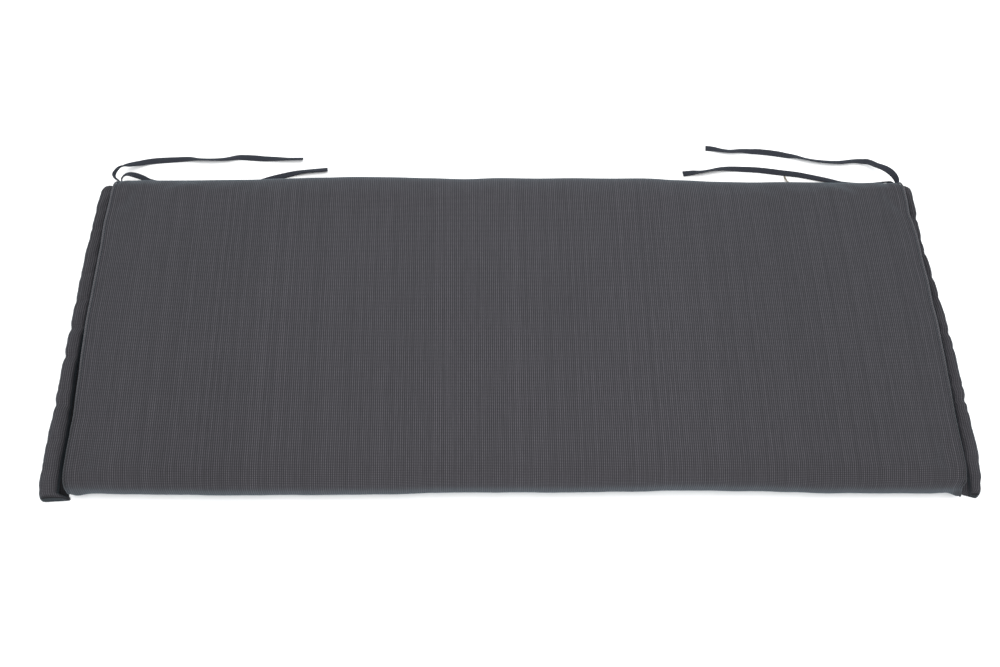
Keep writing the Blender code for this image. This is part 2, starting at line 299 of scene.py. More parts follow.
def waviness(places: np.ndarray, longest: float, seed: int) -> np.ndarray:
    """A slow uneven wave between about -1 and 1, the same at each run.

    Args:
        places: Where it is wanted, in metres.
        longest: Its longest wavelength, in metres.
        seed: Picks the phases.

    Returns:
        The wave's value at each place.
    """
    phases = np.random.default_rng(int(seed)).uniform(0.0, 2 * math.pi, 4)
    shares = (0.45, 0.30, 0.17, 0.08)
    stretches = (1.0, 1.73, 3.11, 5.27)
    total = np.zeros_like(places)
    for phase, share, stretch in zip(phases, shares, stretches):
        total += share * np.sin(2 * math.pi * places * stretch / longest + phase)
    return total


def ring_corners(ring_count: int, loop: int) -> Iterator[tuple[tuple[int, int, int], ...]]:
    """Goes over the faces between neighbouring rings.

    Args:
        ring_count: How many rings there are.
        loop: How many vertices each ring has.

    Yields:
        A face's four corners: the ring, the place round it from 0 to loop, and the vertex there.
    """
    for i in range(ring_count - 1):
        for j in range(loop):
            after = (j + 1) % loop
            yield (i, j, j), (i, j + 1, after), (i + 1, j + 1, after), (i + 1, j, j)


def link_object(obj: Object) -> Object:
    """Puts an object in the scene's collection."""
    bpy.context.scene.collection.objects.link(obj)
    return obj


def mesh_object(name: str, points: np.ndarray, faces: Sequence[Sequence[int]], uvs: np.ndarray) -> Object:
    """A smooth shaded mesh with its own UV map.

    Args:
        name: The object's name.
        points: One row for each vertex.
        faces: Vertex indices of each face, so that the face points outwards.
        uvs: One row, in metres along the cloth, for each corner of each face.

    Returns:
        The new object.
    """
    mesh = bpy.data.meshes.new(name)
    mesh.from_pydata(points.tolist(), [], [tuple(face) for face in faces])
    layer = mesh.uv_layers.new(name=UV_NAME)
    layer.data.foreach_set("uv", np.asarray(uvs, np.float32).ravel())
    mesh.shade_smooth()
    mesh.update()
    return link_object(bpy.data.objects.new(name, mesh))


def guide_object(points: np.ndarray, across: np.ndarray) -> Object:
    """A line of vertices with a direction stored at each, which a Geometry Nodes tree follows."""
    mesh = bpy.data.meshes.new("guide")
    mesh.from_pydata(points.tolist(), [(i, i + 1) for i in range(len(points) - 1)], [])
    attribute = mesh.attributes.new(ACROSS_NAME, "FLOAT_VECTOR", "POINT")
    attribute.data.foreach_set("vector", np.asarray(across, np.float32).ravel())
    return link_object(bpy.data.objects.new("guide", mesh))


def plain_mesh_of(source: Object, name: str) -> Object:
    """The evaluated mesh of an object as a new object with no modifiers; the source is removed."""
    graph = bpy.context.evaluated_depsgraph_get()
    mesh = bpy.data.meshes.new_from_object(source.evaluated_get(graph), depsgraph=graph)
    bpy.data.objects.remove(source)
    mesh.name = name
    return link_object(bpy.data.objects.new(name, mesh))


def store_painted_shade(mesh: bpy.types.Mesh, values: np.ndarray) -> None:
    """Stores how much painted shade each vertex gets, from 0 to 1, for the cloth's material."""
    attribute = mesh.attributes.new(SHADE_MASK_NAME, "FLOAT", "POINT")
    attribute.data.foreach_set("value", values.astype(np.float32))


def coordinates(mesh: bpy.types.Mesh) -> np.ndarray:
    """The mesh's vertices, one row each."""
    values = np.empty(len(mesh.vertices) * 3, np.float32)
    mesh.vertices.foreach_get("co", values)
    return values.reshape(-1, 3).astype(float)


def set_coordinates(mesh: bpy.types.Mesh, points: np.ndarray) -> None:
    """Moves the mesh's vertices to these places."""
    mesh.vertices.foreach_set("co", points.astype(np.float32).ravel())
    mesh.update()


def subdivided(obj: Object, levels: int = 1) -> Object:
    """The object's mesh after Catmull-Clark subdivision, as a plain mesh."""
    name = obj.name
    obj.name = name + "_rough"
    modifier = obj.modifiers.new("subdivision", "SUBSURF")
    modifier.levels = levels
    modifier.render_levels = levels
    modifier.uv_smooth = "NONE"
    return plain_mesh_of(obj, name)


# --- Node trees -----------------------------------------------------------------------------------


class NodeGraph:
    """Adds and links nodes in a shader or geometry tree."""

    def __init__(self, tree: bpy.types.NodeTree) -> None:
        """Wraps a tree."""
        self.tree = tree

    def feed(self, node: bpy.types.Node, inputs: Inputs) -> None:
        """Links a socket into each of these inputs, or sets the input's own value."""
        for key, value in inputs.items():
            if isinstance(value, Socket):
                self.tree.links.new(value, node.inputs[key])
            else:
                node.inputs[key].default_value = value

    def add(self, kind: str, inputs: Inputs | None = None, **settings: Value) -> bpy.types.Node:
        """Adds a node.

        Args:
            kind: The node type's identifier.
            inputs: Values or sockets for its inputs, by name or index.
            **settings: The node's own properties.

        Returns:
            The new node.
        """
        node = self.tree.nodes.new(kind)
        for key, value in settings.items():
            setattr(node, key, value)
        self.feed(node, inputs or {})
        return node

    def out(self, kind: str, inputs: Inputs | None = None, **settings: Value) -> Socket:
        """The first output of a new node."""
        return self.add(kind, inputs, **settings).outputs[0]

    def math(self, operation: str, first: Value, second: Value = 0.0, third: Value = 0.0) -> Socket:
        """The result of a Math node."""
        return self.out("ShaderNodeMath", {0: first, 1: second, 2: third}, operation=operation)

    def shaded(self, color: Value, tone: Value) -> Socket:
        """A colour multiplied by a tone."""
        return self.out("ShaderNodeVectorMath", {0: color, 1: tone}, operation="MULTIPLY")

    def mix(self, factor: Value, first: Value, second: Value, blend: str = "MIX") -> Socket:
        """The result of a Mix Color node; colours are sockets or have three values."""
        node = self.add("ShaderNodeMix", data_type="RGBA", blend_type=blend, clamp_factor=True)
        numbers = {socket.identifier: index for index, socket in enumerate(node.inputs)}
        for name, value in (("Factor_Float", factor), ("A_Color", first), ("B_Color", second)):
            self.feed(node, {numbers[name]: (*value, 1.0) if isinstance(value, tuple) else value})
        return next(socket for socket in node.outputs if socket.identifier == "Result_Color")


def new_group(name: str, kind: str, inputs: dict[str, str | float], outputs: dict[str, str]) -> NodeGraph:
    """A node group with named sockets.

    Args:
        name: The group's name.
        kind: The tree's type.
        inputs: Default of each number input, or socket type of each other input.
        outputs: Socket type for each output.

    Returns:
        The group's graph, which is still empty.
    """
    tree = bpy.data.node_groups.new(name, kind)
    for label, given in inputs.items():
        number_type = "NodeSocketInt" if isinstance(given, int) else "NodeSocketFloat"
        socket_type = given if isinstance(given, str) else number_type
        socket = tree.interface.new_socket(label, in_out="INPUT", socket_type=socket_type)
        if not isinstance(given, str):
            socket.default_value = given
    for label, socket_type in outputs.items():
        tree.interface.new_socket(label, in_out="OUTPUT", socket_type=socket_type)
    return NodeGraph(tree)


class PathTree:
    """A Geometry Nodes tree that makes a piece along a guide line."""

    def __init__(self, graph: NodeGraph, made: Socket, finish: Socket, label: str) -> None:
        """Ends a tree and keeps the identifiers of its inputs.

        Args:
            graph: The tree's graph.
            made: The geometry that it has made.
            finish: Its material input.
            label: Its output.
        """
        smooth = graph.out("GeometryNodeSetShadeSmooth", {"Geometry": made})
        realized = graph.out("GeometryNodeRealizeInstances", {"Geometry": smooth})
        dressed = graph.out("GeometryNodeSetMaterial", {"Geometry": realized, "Material": finish})
        graph.add("NodeGroupOutput", {label: dressed})
        self.tree = graph.tree
        items = self.tree.interface.items_tree
        self.identifiers = {item.name: item.identifier for item in items if item.in_out == "INPUT"}

    def make(self, name: str, points: np.ndarray, across: np.ndarray, **values: Value) -> Object:
        """Makes one piece as a plain mesh.

        Args:
            name: The piece's name.
            points: The line that it follows.
            across: A direction at each of those points.
            **values: The tree's inputs, with underscores for spaces.

        Returns:
            The piece, with no modifier.
        """
        guide = guide_object(points, across)
        modifier = guide.modifiers.new("path", "NODES")
        modifier.node_group = self.tree
        for label, value in values.items():
            modifier[self.identifiers[label.replace("_", " ")]] = value
        piece = plain_mesh_of(guide, name)
        piece.data.set_sharp_from_angle(angle=SHARP_ANGLE)
        return piece


def strip_tree() -> PathTree:
    """A strip with rounded edges and blunt ends, swept along the guide; across is its width's direction."""
    graph = new_group(
        "Swept strip",
        "GeometryNodeTree",
        {
            "Guide": "NodeSocketGeometry",
            "Width": 10 * MILLIMETRE,
            "Thickness": 2 * MILLIMETRE,
            "Edge steps": 4,
            "Finish": "NodeSocketMaterial",
        },
        {"Strip": "NodeSocketGeometry"},
    )
    given = graph.add("NodeGroupInput").outputs
    across = graph.out("GeometryNodeInputNamedAttribute", {"Name": ACROSS_NAME}, data_type="FLOAT_VECTOR")
    line = graph.out("GeometryNodeMeshToCurve", {"Mesh": given["Guide"]})
    turned = graph.out("GeometryNodeSetCurveNormal", {"Curve": line, "Normal": across}, mode="FREE")
    section = graph.out(
        "GeometryNodeCurvePrimitiveQuadrilateral",
        {"Width": given["Width"], "Height": given["Thickness"]},
        mode="RECTANGLE",
    )
    just_under_half = 0.499
    edge_radius = graph.math("MULTIPLY", given["Thickness"], just_under_half)
    rounded = graph.out(
        "GeometryNodeFilletCurve",
        {"Curve": section, "Count": given["Edge steps"], "Radius": edge_radius, "Limit Radius": True},
        mode="POLY",
    )
    captures = []
    for curve in (turned, rounded):
        place = graph.add("GeometryNodeSplineParameter").outputs["Length"]
        capture = graph.add("GeometryNodeCaptureAttribute", domain="POINT")
        capture.capture_items.new("FLOAT", "place")
        graph.feed(capture, {"Geometry": curve, "place": place})
        captures.append(capture.outputs)
    along, around = captures
    swept = graph.out(
        "GeometryNodeCurveToMesh",
        {"Curve": along["Geometry"], "Profile Curve": around["Geometry"], "Fill Caps": True},
    )
    flat = graph.out("ShaderNodeCombineXYZ", {"X": around["place"], "Y": along["place"]})
    mapped = graph.out(
        "GeometryNodeStoreNamedAttribute",
        {"Geometry": swept, "Name": UV_NAME, "Value": flat},
        data_type="FLOAT2",
        domain="CORNER",
    )
    return PathTree(graph, mapped, given["Finish"], "Strip")


def stitch_tree() -> PathTree:
    """A row of sewing stitches along the guide; across points away from the cloth."""
    graph = new_group(
        "Stitch row",
        "GeometryNodeTree",
        {
            "Guide": "NodeSocketGeometry",
            "Pitch": 3.4 * MILLIMETRE,
            "Stitch length": 2.5 * MILLIMETRE,
            "Thread radius": 0.22 * MILLIMETRE,
            "Rise": 0.35 * MILLIMETRE,
            "Unevenness": 0.12,
            "Seed": 0,
            "Finish": "NodeSocketMaterial",
        },
        {"Stitches": "NodeSocketGeometry"},
    )
    given = graph.add("NodeGroupInput").outputs
    away = graph.out("GeometryNodeInputNamedAttribute", {"Name": ACROSS_NAME}, data_type="FLOAT_VECTOR")
    tangent = graph.out("GeometryNodeInputTangent")
    line = graph.out("GeometryNodeMeshToCurve", {"Mesh": given["Guide"]})
    spaced = graph.out("GeometryNodeResampleCurve", {"Curve": line, "Length": given["Pitch"]}, mode="LENGTH")
    half = graph.math("MULTIPLY", given["Stitch length"], 0.5)
    start, end = (
        graph.out("ShaderNodeCombineXYZ", {"X": graph.math("MULTIPLY", half, way)}) for way in (-1.0, 1.0)
    )
    top = graph.out("ShaderNodeCombineXYZ", {"Z": graph.math("MULTIPLY", given["Rise"], 2.0)})
    bow = graph.out(
        "GeometryNodeCurveQuadraticBezier", {"Resolution": 4, "Start": start, "Middle": top, "End": end}
    )
    thread = graph.out(
        "GeometryNodeCurvePrimitiveCircle", {"Resolution": 5, "Radius": given["Thread radius"]}
    )
    stitch = graph.out("GeometryNodeCurveToMesh", {"Curve": bow, "Profile Curve": thread, "Fill Caps": True})
    turned = graph.out(
        "FunctionNodeAxesToRotation",
        {"Primary Axis": away, "Secondary Axis": tangent},
        primary_axis="Z",
        secondary_axis="X",
    )
    stretch = graph.add("FunctionNodeRandomValue", {"Seed": given["Seed"]}, data_type="FLOAT")
    for identifier, operation in (("Min_001", "SUBTRACT"), ("Max_001", "ADD")):
        number = next(i for i, socket in enumerate(stretch.inputs) if socket.identifier == identifier)
        graph.feed(stretch, {number: graph.math(operation, 1.0, given["Unevenness"])})
    longer = stretch.outputs[1]
    scale = graph.out("ShaderNodeCombineXYZ", {"X": longer, "Y": 1.0, "Z": longer})
    placed = graph.out(
        "GeometryNodeInstanceOnPoints",
        {"Points": spaced, "Instance": stitch, "Rotation": turned, "Scale": scale},
    )
    return PathTree(graph, placed, given["Finish"], "Stitches")


# --- Finishes -------------------------------------------------------------------------------------


def weave_group() -> bpy.types.NodeTree:
    """Shader group of a plain weave with two warp colours: colour and height at a place on the cloth."""
    graph = new_group(
        "Woven cloth",
        "ShaderNodeTree",
        {
            "Place": "NodeSocketVector",
            "Warp pitch": 1.4 * MILLIMETRE,
            "Pick pitch": 1.4 * MILLIMETRE,
            "Light warp": "NodeSocketColor",
            "Dark warp": "NodeSocketColor",
            "Pick": "NodeSocketColor",
            "Slub": 0.3,
            "Mottle": 0.1,
            "Painted front shade": 1.0,
            "Painted side shade": 1.0,
        },
        {"Color": "NodeSocketColor", "Height": "NodeSocketFloat"},
    )
    given = graph.add("NodeGroupInput").outputs
    place = graph.add("ShaderNodeSeparateXYZ", {0: given["Place"]}).outputs
    warp_place = graph.math("DIVIDE", place["X"], given["Warp pitch"])
    pick_place = graph.math("DIVIDE", place["Y"], given["Pick pitch"])
    warp = graph.math("FLOOR", warp_place)
    pick = graph.math("FLOOR", pick_place)

    # Each thread rises and dips over its neighbours, and the higher one shows; the warp is the fuller.
    heights = []
    for across, along, thread, middle, swing in (
        (warp_place, pick_place, warp, 0.64, -0.36),
        (pick_place, warp_place, pick, 0.32, 0.34),
    ):
        off_middle = graph.math("MULTIPLY_ADD", graph.math("FRACT", across), 2.0, -1.0)
        thread_round = graph.math("SUBTRACT", 1.0, graph.math("MULTIPLY", off_middle, off_middle))
        phase = graph.math("MULTIPLY", graph.math("ADD", along, thread), math.pi)
        rise = graph.math("MULTIPLY_ADD", graph.math("SINE", phase), swing, middle)
        heights.append(graph.math("MULTIPLY", thread_round, rise))
    over = graph.math("GREATER_THAN", *heights)
    height = graph.math("MAXIMUM", *heights)

    # Each thread is a little lighter or darker than the next, and uneven along its length.
    alternate = graph.math("FLOORED_MODULO", warp, 2.0)
    warp_color = graph.mix(alternate, given["Light warp"], given["Dark warp"])
    thread_step, slubs_per_metre, mean_shade = 3.71, 45.0, 1.5
    threads = []
    for color, thread, along, seed, amount in (
        (warp_color, warp, place["Y"], 0.37, 1.0),
        (given["Pick"], pick, place["X"], 5.71, 0.35),
    ):
        number = graph.math("ADD", thread, seed)
        shade = graph.out("ShaderNodeTexWhiteNoise", {"W": number}, noise_dimensions="1D")
        where = graph.out(
            "ShaderNodeCombineXYZ",
            {
                "X": graph.math("MULTIPLY", thread, thread_step),
                "Y": graph.math("MULTIPLY", along, slubs_per_metre),
                "Z": seed,
            },
        )
        slub = graph.out("ShaderNodeTexNoise", {"Vector": where, "Scale": 1.0, "Detail": 2.0})
        both = graph.math("ADD", shade, graph.math("MULTIPLY", slub, 2.0))
        centred = graph.math("MULTIPLY", graph.math("SUBTRACT", both, mean_shade), amount)
        threads.append(graph.shaded(color, graph.math("MULTIPLY_ADD", centred, given["Slub"], 1.0)))
    warp_shaded, pick_shaded = threads
    woven = graph.mix(over, pick_shaded, warp_shaded)

    # The cloth is mottled, with painted shade between its threads, and painted shade can darken it towards
    # the front and towards the sides.
    where = graph.add("ShaderNodeTexCoord").outputs["Object"]
    mottle = graph.out("ShaderNodeTexNoise", {"Vector": where, "Scale": 7.0, "Detail": 3.0})
    tone = graph.math("MULTIPLY_ADD", graph.math("SUBTRACT", mottle, 0.5), given["Mottle"], 1.0)
    # Painted shade: lower parts of the weave, between the threads, are darker.
    gap_shade, height_shade = 0.62, 0.55
    tone = graph.math("MULTIPLY", tone, graph.math("MULTIPLY_ADD", height, height_shade, gap_shade))
    spot = graph.add("ShaderNodeSeparateXYZ", {0: where}).outputs
    # Painted shade towards the front, where the welt's highlight fades, and towards the sides, for light that
    # falls off there.
    for value, low, high, low_shade, high_shade in (
        (spot["Y"], -0.21, 0.0, given["Painted front shade"], 1.0),
        (graph.math("ABSOLUTE", spot["X"]), 0.12, 0.5, 1.0, given["Painted side shade"]),
    ):
        painted_wide_shade = graph.out(
            "ShaderNodeMapRange",
            {"Value": value, "From Min": low, "From Max": high, "To Min": low_shade, "To Max": high_shade},
            interpolation_type="SMOOTHSTEP",
        )
        tone = graph.math("MULTIPLY", tone, painted_wide_shade)
    graph.add("NodeGroupOutput", {"Color": graph.shaded(woven, tone), "Height": height})
    return graph.tree


def new_material(name: str, color: Color) -> tuple[bpy.types.Material, NodeGraph, bpy.types.Node]:
    """A new material, its graph and its Principled shader."""
    made = bpy.data.materials.new(name)
    made.use_nodes = True
    made.diffuse_color = (*color, 1.0)
    return made, NodeGraph(made.node_tree), made.node_tree.nodes["Principled BSDF"]


@dataclass(frozen=True)
class ClothFinish:
    """A matt woven cloth, with its thread colours and pitches."""

    name: str
    light_warp: Color
    dark_warp: Color
    pick: Color
    warp_pitch: float = 1.4 * MILLIMETRE
    pick_pitch: float = 1.4 * MILLIMETRE
    bias: float = 0.0
    slub: float = 0.30
    mottle: float = 0.12
    painted_front_shade: float = 1.0
    painted_side_shade: float = 1.0
    relief: float = 0.25 * MILLIMETRE
    relief_strength: float = 0.6
    roughness: float = 0.88
    specular: float = 0.22
    sheen: float = 0.14
    sheen_roughness: float = 0.45
    sheen_tint: Color = (0.55, 0.84, 1.0)
    painted_crease_shade: float = 1.0

    def material(self, weave: bpy.types.NodeTree) -> bpy.types.Material:
        """Makes the material from the shared weave group."""
        made, graph, shader = new_material(self.name, self.pick)
        cloth_place = graph.out("ShaderNodeUVMap", uv_map=UV_NAME)
        turned = graph.out("ShaderNodeMapping", {"Vector": cloth_place, "Rotation": (0.0, 0.0, self.bias)})
        woven = graph.add(
            "ShaderNodeGroup",
            {
                "Place": turned,
                "Warp pitch": self.warp_pitch,
                "Pick pitch": self.pick_pitch,
                "Light warp": (*self.light_warp, 1.0),
                "Dark warp": (*self.dark_warp, 1.0),
                "Pick": (*self.pick, 1.0),
                "Slub": self.slub,
                "Mottle": self.mottle,
                "Painted front shade": self.painted_front_shade,
                "Painted side shade": self.painted_side_shade,
            },
            node_tree=weave,
        ).outputs
        bump = graph.out(
            "ShaderNodeBump",
            {"Height": woven["Height"], "Distance": self.relief, "Strength": self.relief_strength},
        )
        color = woven["Color"]
        # Painted shade: the colour is darkened where the mesh's painted shade mask is set.
        if self.painted_crease_shade < 1.0:
            crease = graph.add("ShaderNodeAttribute", attribute_name=SHADE_MASK_NAME).outputs["Fac"]
            color = graph.mix(crease, color, (self.painted_crease_shade,) * 3, "MULTIPLY")
        graph.feed(
            shader,
            {
                "Base Color": color,
                "Normal": bump,
                "Roughness": self.roughness,
                "Specular IOR Level": self.specular,
                "Sheen Weight": self.sheen,
                "Sheen Roughness": self.sheen_roughness,
                "Sheen Tint": (*self.sheen_tint, 1.0),
            },
        )
        return made


@dataclass(frozen=True)
class ThreadFinish:
    """Twisted sewing thread."""

    name: str
    color: Color
    shadow: Color
    ply_pitch: float = 0.8 * MILLIMETRE
    ply_waviness: float = 1.5
    relief: float = 0.05 * MILLIMETRE
    relief_strength: float = 0.5
    roughness: float = 0.85
    specular: float = 0.04

    def material(self) -> bpy.types.Material:
        """Makes the material, whose plies are slanted bands."""
        made, graph, shader = new_material(self.name, self.color)
        where = graph.add("ShaderNodeTexCoord").outputs["Object"]
        plies = graph.add(
            "ShaderNodeTexWave",
            {"Vector": where, "Scale": BAND_AT_SCALE_ONE / self.ply_pitch, "Distortion": self.ply_waviness},
            wave_type="BANDS",
            bands_direction="DIAGONAL",
        ).outputs["Fac"]
        bump = graph.out(
            "ShaderNodeBump", {"Height": plies, "Distance": self.relief, "Strength": self.relief_strength}
        )
        graph.feed(
            shader,
            {
                "Base Color": graph.mix(plies, self.shadow, self.color),
                "Normal": bump,
                "Roughness": self.roughness,
                "Specular IOR Level": self.specular,
            },
        )
        return made


COVER = ClothFinish(
    "anthracite canvas",
    light_warp=(0.060, 0.056, 0.063),
    dark_warp=(0.0150, 0.0140, 0.0165),
    pick=(0.030, 0.0280, 0.032),
    pick_pitch=1.1 * MILLIMETRE,
    # Painted shade: the cover darkens towards its short ends, for light that falls off there.
    painted_side_shade=0.88,
)
FLAP = ClothFinish(
    "anthracite canvas of the side flaps",
    light_warp=(0.061, 0.0575, 0.064),
    dark_warp=(0.0223, 0.0212, 0.0245),
    pick=(0.0348, 0.0332, 0.0370),
    pick_pitch=1.1 * MILLIMETRE,
    specular=0.14,
    sheen=0.09,
    # Painted shade: a quarter of the colour where the flap's shade mask is full.
    painted_crease_shade=0.25,
)
# Painted highlight: the welt's threads are lighter than the cover's, for the light that the raised fold
# catches; painted shade darkens it towards the front, where it catches less.
WELT = ClothFinish(
    "anthracite canvas folded over a seam",
    light_warp=(0.075, 0.070, 0.076),
    dark_warp=(0.040, 0.037, 0.041),
    pick=(0.050, 0.047, 0.051),
    bias=math.radians(45.0),
    painted_front_shade=0.45,
    relief=0.15 * MILLIMETRE,
)
BAND = ClothFinish(
    "dark band",
    light_warp=(0.037, 0.040, 0.048),
    dark_warp=(0.021, 0.022, 0.028),
    pick=(0.025, 0.027, 0.034),
    warp_pitch=0.55 * MILLIMETRE,
    pick_pitch=0.55 * MILLIMETRE,
    relief=0.12 * MILLIMETRE,
    specular=0.03,
    sheen=0.04,
)
TAB = ClothFinish(
    "beige tape",
    light_warp=(0.22, 0.19, 0.15),
    dark_warp=(0.15, 0.13, 0.10),
    pick=(0.18, 0.155, 0.12),
    warp_pitch=0.4 * MILLIMETRE,
    pick_pitch=0.4 * MILLIMETRE,
    relief=0.08 * MILLIMETRE,
    sheen=0.1,
)
SEAM_THREAD = ThreadFinish("anthracite thread", color=(0.044, 0.042, 0.047), shadow=(0.024, 0.023, 0.026))


class Workshop:
    """The node trees and materials that the pieces share, each made once."""

    def __init__(self) -> None:
        """Builds them."""
        weave = weave_group()
        self.strip = strip_tree()
        self.stitches = stitch_tree()
        self.cover = COVER.material(weave)
        self.flap = FLAP.material(weave)
        self.welt = WELT.material(weave)
        self.band = BAND.material(weave)
        self.tab = TAB.material(weave)
        self.seam_thread = SEAM_THREAD.material()


def fit_piece(piece: Object, slot: Slot, *nodes: str) -> Object:
    """Rides a piece on the cushion's body and hides the CAD nodes that it stands for."""
    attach(piece, BODY)
    if nodes:
        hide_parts(*nodes)
    LOG.info("%s: %d faces", piece.name, len(piece.data.polygons))
    return piece


# --- Filling --------------------------------------------------------------------------------------


@dataclass
class Filling:
    """Cloth simulation that swells a cover as its filling does, with each point's travel capped."""

    pressure: float
    growth: float
    stiffness: float = 15.0
    bending: float = 0.6
    mass: float = 0.3
    damping: float = 2.0
    frames: int = 20
    quality: int = 6

    def swell(self, obj: Object, loose: np.ndarray, travel: np.ndarray) -> None:
        """Runs the simulation and keeps its result in the object's mesh.

        Args:
            obj: The cover, whose mesh is changed.
            loose: How free each vertex is, from 0 to 1.
            travel: How far each vertex may move, in metres.
        """
        free_from = 0.3
        held = np.round(1.0 - smooth_step(loose, 0.0, free_from), 1)
        group = obj.vertex_groups.new(name="held")
        for level in np.unique(held[held > 0.0]):
            group.add(np.flatnonzero(held == level).tolist(), float(level), "REPLACE")
        modifier = obj.modifiers.new("filling", "CLOTH")
        settings = modifier.settings
        settings.quality = self.quality
        settings.mass = self.mass
        settings.tension_stiffness = self.stiffness
        settings.compression_stiffness = self.stiffness
        settings.shear_stiffness = self.stiffness / 2
        settings.bending_stiffness = self.bending
        settings.air_damping = self.damping
        settings.use_pressure = True
        settings.uniform_pressure_force = self.pressure
        settings.shrink_min = -self.growth
        settings.vertex_group_mass = group.name
        settings.effector_weights.gravity = 0.0
        modifier.collision_settings.use_collision = False
        modifier.point_cache.frame_start = 1
        modifier.point_cache.frame_end = self.frames
        start = coordinates(obj.data)
        scene = bpy.context.scene
        for frame in range(1, self.frames + 1):
            scene.frame_set(frame)
        graph = bpy.context.evaluated_depsgraph_get()
        moved = coordinates(obj.evaluated_get(graph).data) - start
        obj.modifiers.remove(modifier)
        scene.frame_set(1)
        distance = np.linalg.norm(moved, axis=1)
        share = np.minimum(1.0, travel / np.maximum(distance, TINY))
        set_coordinates(obj.data, start + moved * share[:, None])


# --- Pad ------------------------------------------------------------------------------------------


@dataclass(frozen=True)
class PadShape:
    """Sizes of the filled pad, the same as in the part's source."""

    length: float = 1.200
    depth: float = 0.500
    thickness: float = 0.047
    edge_radius: float = 0.018
    length_crown: float = 0.004
    depth_crown: float = 0.003
    end_depth_crown: float = 0.4
    end_bow: float = 0.003
    edge_bow: float = 0.002
    end_dome: float = 0.002
    seam_chamfer: float = 0.004

    def bow(self, y: np.ndarray) -> np.ndarray:
        """How far a short side stands past its corners at this depth."""
        return self.end_bow * np.maximum(1 - (2 * y / self.depth) ** 2, 0.0)

    def dome(self, y: np.ndarray, z: np.ndarray) -> np.ndarray:
        """How far an end panel swells past its seam at this place."""
        half_depth = self.depth / 2 - self.seam_chamfer
        half_height = self.thickness / 2 - self.seam_chamfer
        across = np.maximum(1 - (y / half_depth) ** 2, 0.0)
        up = np.maximum(1 - ((z - self.thickness / 2) / half_height) ** 2, 0.0)
        return self.end_dome * across * up

    def softened(self, points: np.ndarray) -> np.ndarray:
        """The places that points of the sharp-cornered pad take once it is filled."""
        along = 2 * points[..., 0] / self.length
        across = 2 * points[..., 1] / self.depth
        mid_length = np.maximum(1 - along**4, 0.0)
        mid_depth = np.maximum(1 - across**2, 0.0)
        depth_crown = self.depth_crown * (self.end_depth_crown + (1 - self.end_depth_crown) * mid_length)
        crown = self.length_crown * mid_length + depth_crown * mid_depth
        return np.stack(
            [
                points[..., 0] + self.bow(points[..., 1]) * along**3,
                points[..., 1] + self.edge_bow * mid_length * across,
                points[..., 2] * (1 + crown / self.thickness),
            ],
            axis=-1,
        )

    def outline(self, rows: int, sides: int) -> tuple[np.ndarray, np.ndarray, np.ndarray]:
        """The pad's section: a rounded rectangle, counted from the middle of its lower front corner.

        Args:
            rows: Steps along the underside and along the top.
            sides: Steps up the back and down the front.

        Returns:
            The points as (y, z), their outward normals and their lengths round the section.
        """
        radius = self.edge_radius
        centre_y = self.depth / 2 - radius
        upper = self.thickness - radius
        fine_angle = 2.0
        points: list[tuple[float, float]] = []
        normals: list[tuple[float, float]] = []
        for y, z, start, end in (
            (-centre_y, radius, -135.0, -90.0),
            (centre_y, radius, -90.0, 0.0),
            (centre_y, upper, 0.0, 90.0),
            (-centre_y, upper, 90.0, 180.0),
            (-centre_y, radius, 180.0, 225.0),
        ):
            count = round((end - start) / fine_angle)
            for angle in np.radians(np.linspace(start, end, count + 1)):
                normals.append((math.cos(angle), math.sin(angle)))
                points.append((y + radius * math.cos(angle), z + radius * math.sin(angle)))
        line = np.array(points)
        lengths = lengths_along(line)
        row = 2 * centre_y + radius * math.pi / 2
        side = lengths[-1] / 2 - row
        steps = [np.full(count, length / count) for length, count in ((row, rows), (side, sides))]
        marks = np.cumsum(np.concatenate([[0.0], *steps, *steps]))
        facing = columns_at(marks[:-1], lengths, np.array(normals))
        return columns_at(marks[:-1], lengths, line), normalized(facing), marks


# Cross-section of the pad's end from the end panel to the top: distance from the end plane, and distance in
# from the pad's sharp outline. The fourth place is the seam, under the welt.
END_RINGS: Rows = (
    (0.0000, 0.0065),
    (0.0002, 0.0040),
    (0.0008, 0.0023),
    (0.0015, 0.0015),
    (0.0022, 0.0009),
    (0.0034, 0.00035),
    (0.0050, 0.00005),
    (0.0080, 0.0),
    (0.0120, 0.0),
    (0.0180, 0.0),
    (0.0260, 0.0),
)
SEAM_RING = 3
STITCH_RING = 6

# Unevenness of the long edges: place along X, how far the front stands forward, how far the back stands
# back, and how far the back edge rises.
EDGE_WAVES: Rows = (
    (-0.600, -0.0004, 0.0, 0.0),
    (-0.500, 0.0002, -0.0003, -0.0003),
    (-0.400, 0.0016, 0.0, 0.0004),
    (-0.345, 0.0016, 0.0013, 0.0020),
    (-0.290, 0.0014, 0.0023, 0.0033),
    (-0.236, 0.0014, 0.0033, 0.0044),
    (-0.182, 0.0010, 0.0029, 0.0041),
    (-0.128, -0.0004, 0.0021, 0.0029),
    (-0.073, -0.0014, 0.0012, 0.0017),
    (-0.019, -0.0010, 0.0028, 0.0031),
    (0.036, -0.0006, 0.0024, 0.0025),
    (0.091, -0.0008, 0.0031, 0.0031),
    (0.146, -0.0014, 0.0029, 0.0025),
    (0.200, -0.0026, 0.0035, 0.0027),
    (0.256, -0.0023, 0.0018, 0.0001),
    (0.311, -0.0012, 0.0005, -0.0022),
    (0.366, 0.0004, 0.0002, -0.0029),
    (0.422, 0.0028, 0.0012, -0.0021),
    (0.500, 0.0033, 0.0010, -0.0020),
    (0.560, 0.0046, 0.0006, -0.0012),
    (0.600, 0.0040, 0.0005, 0.0),
)

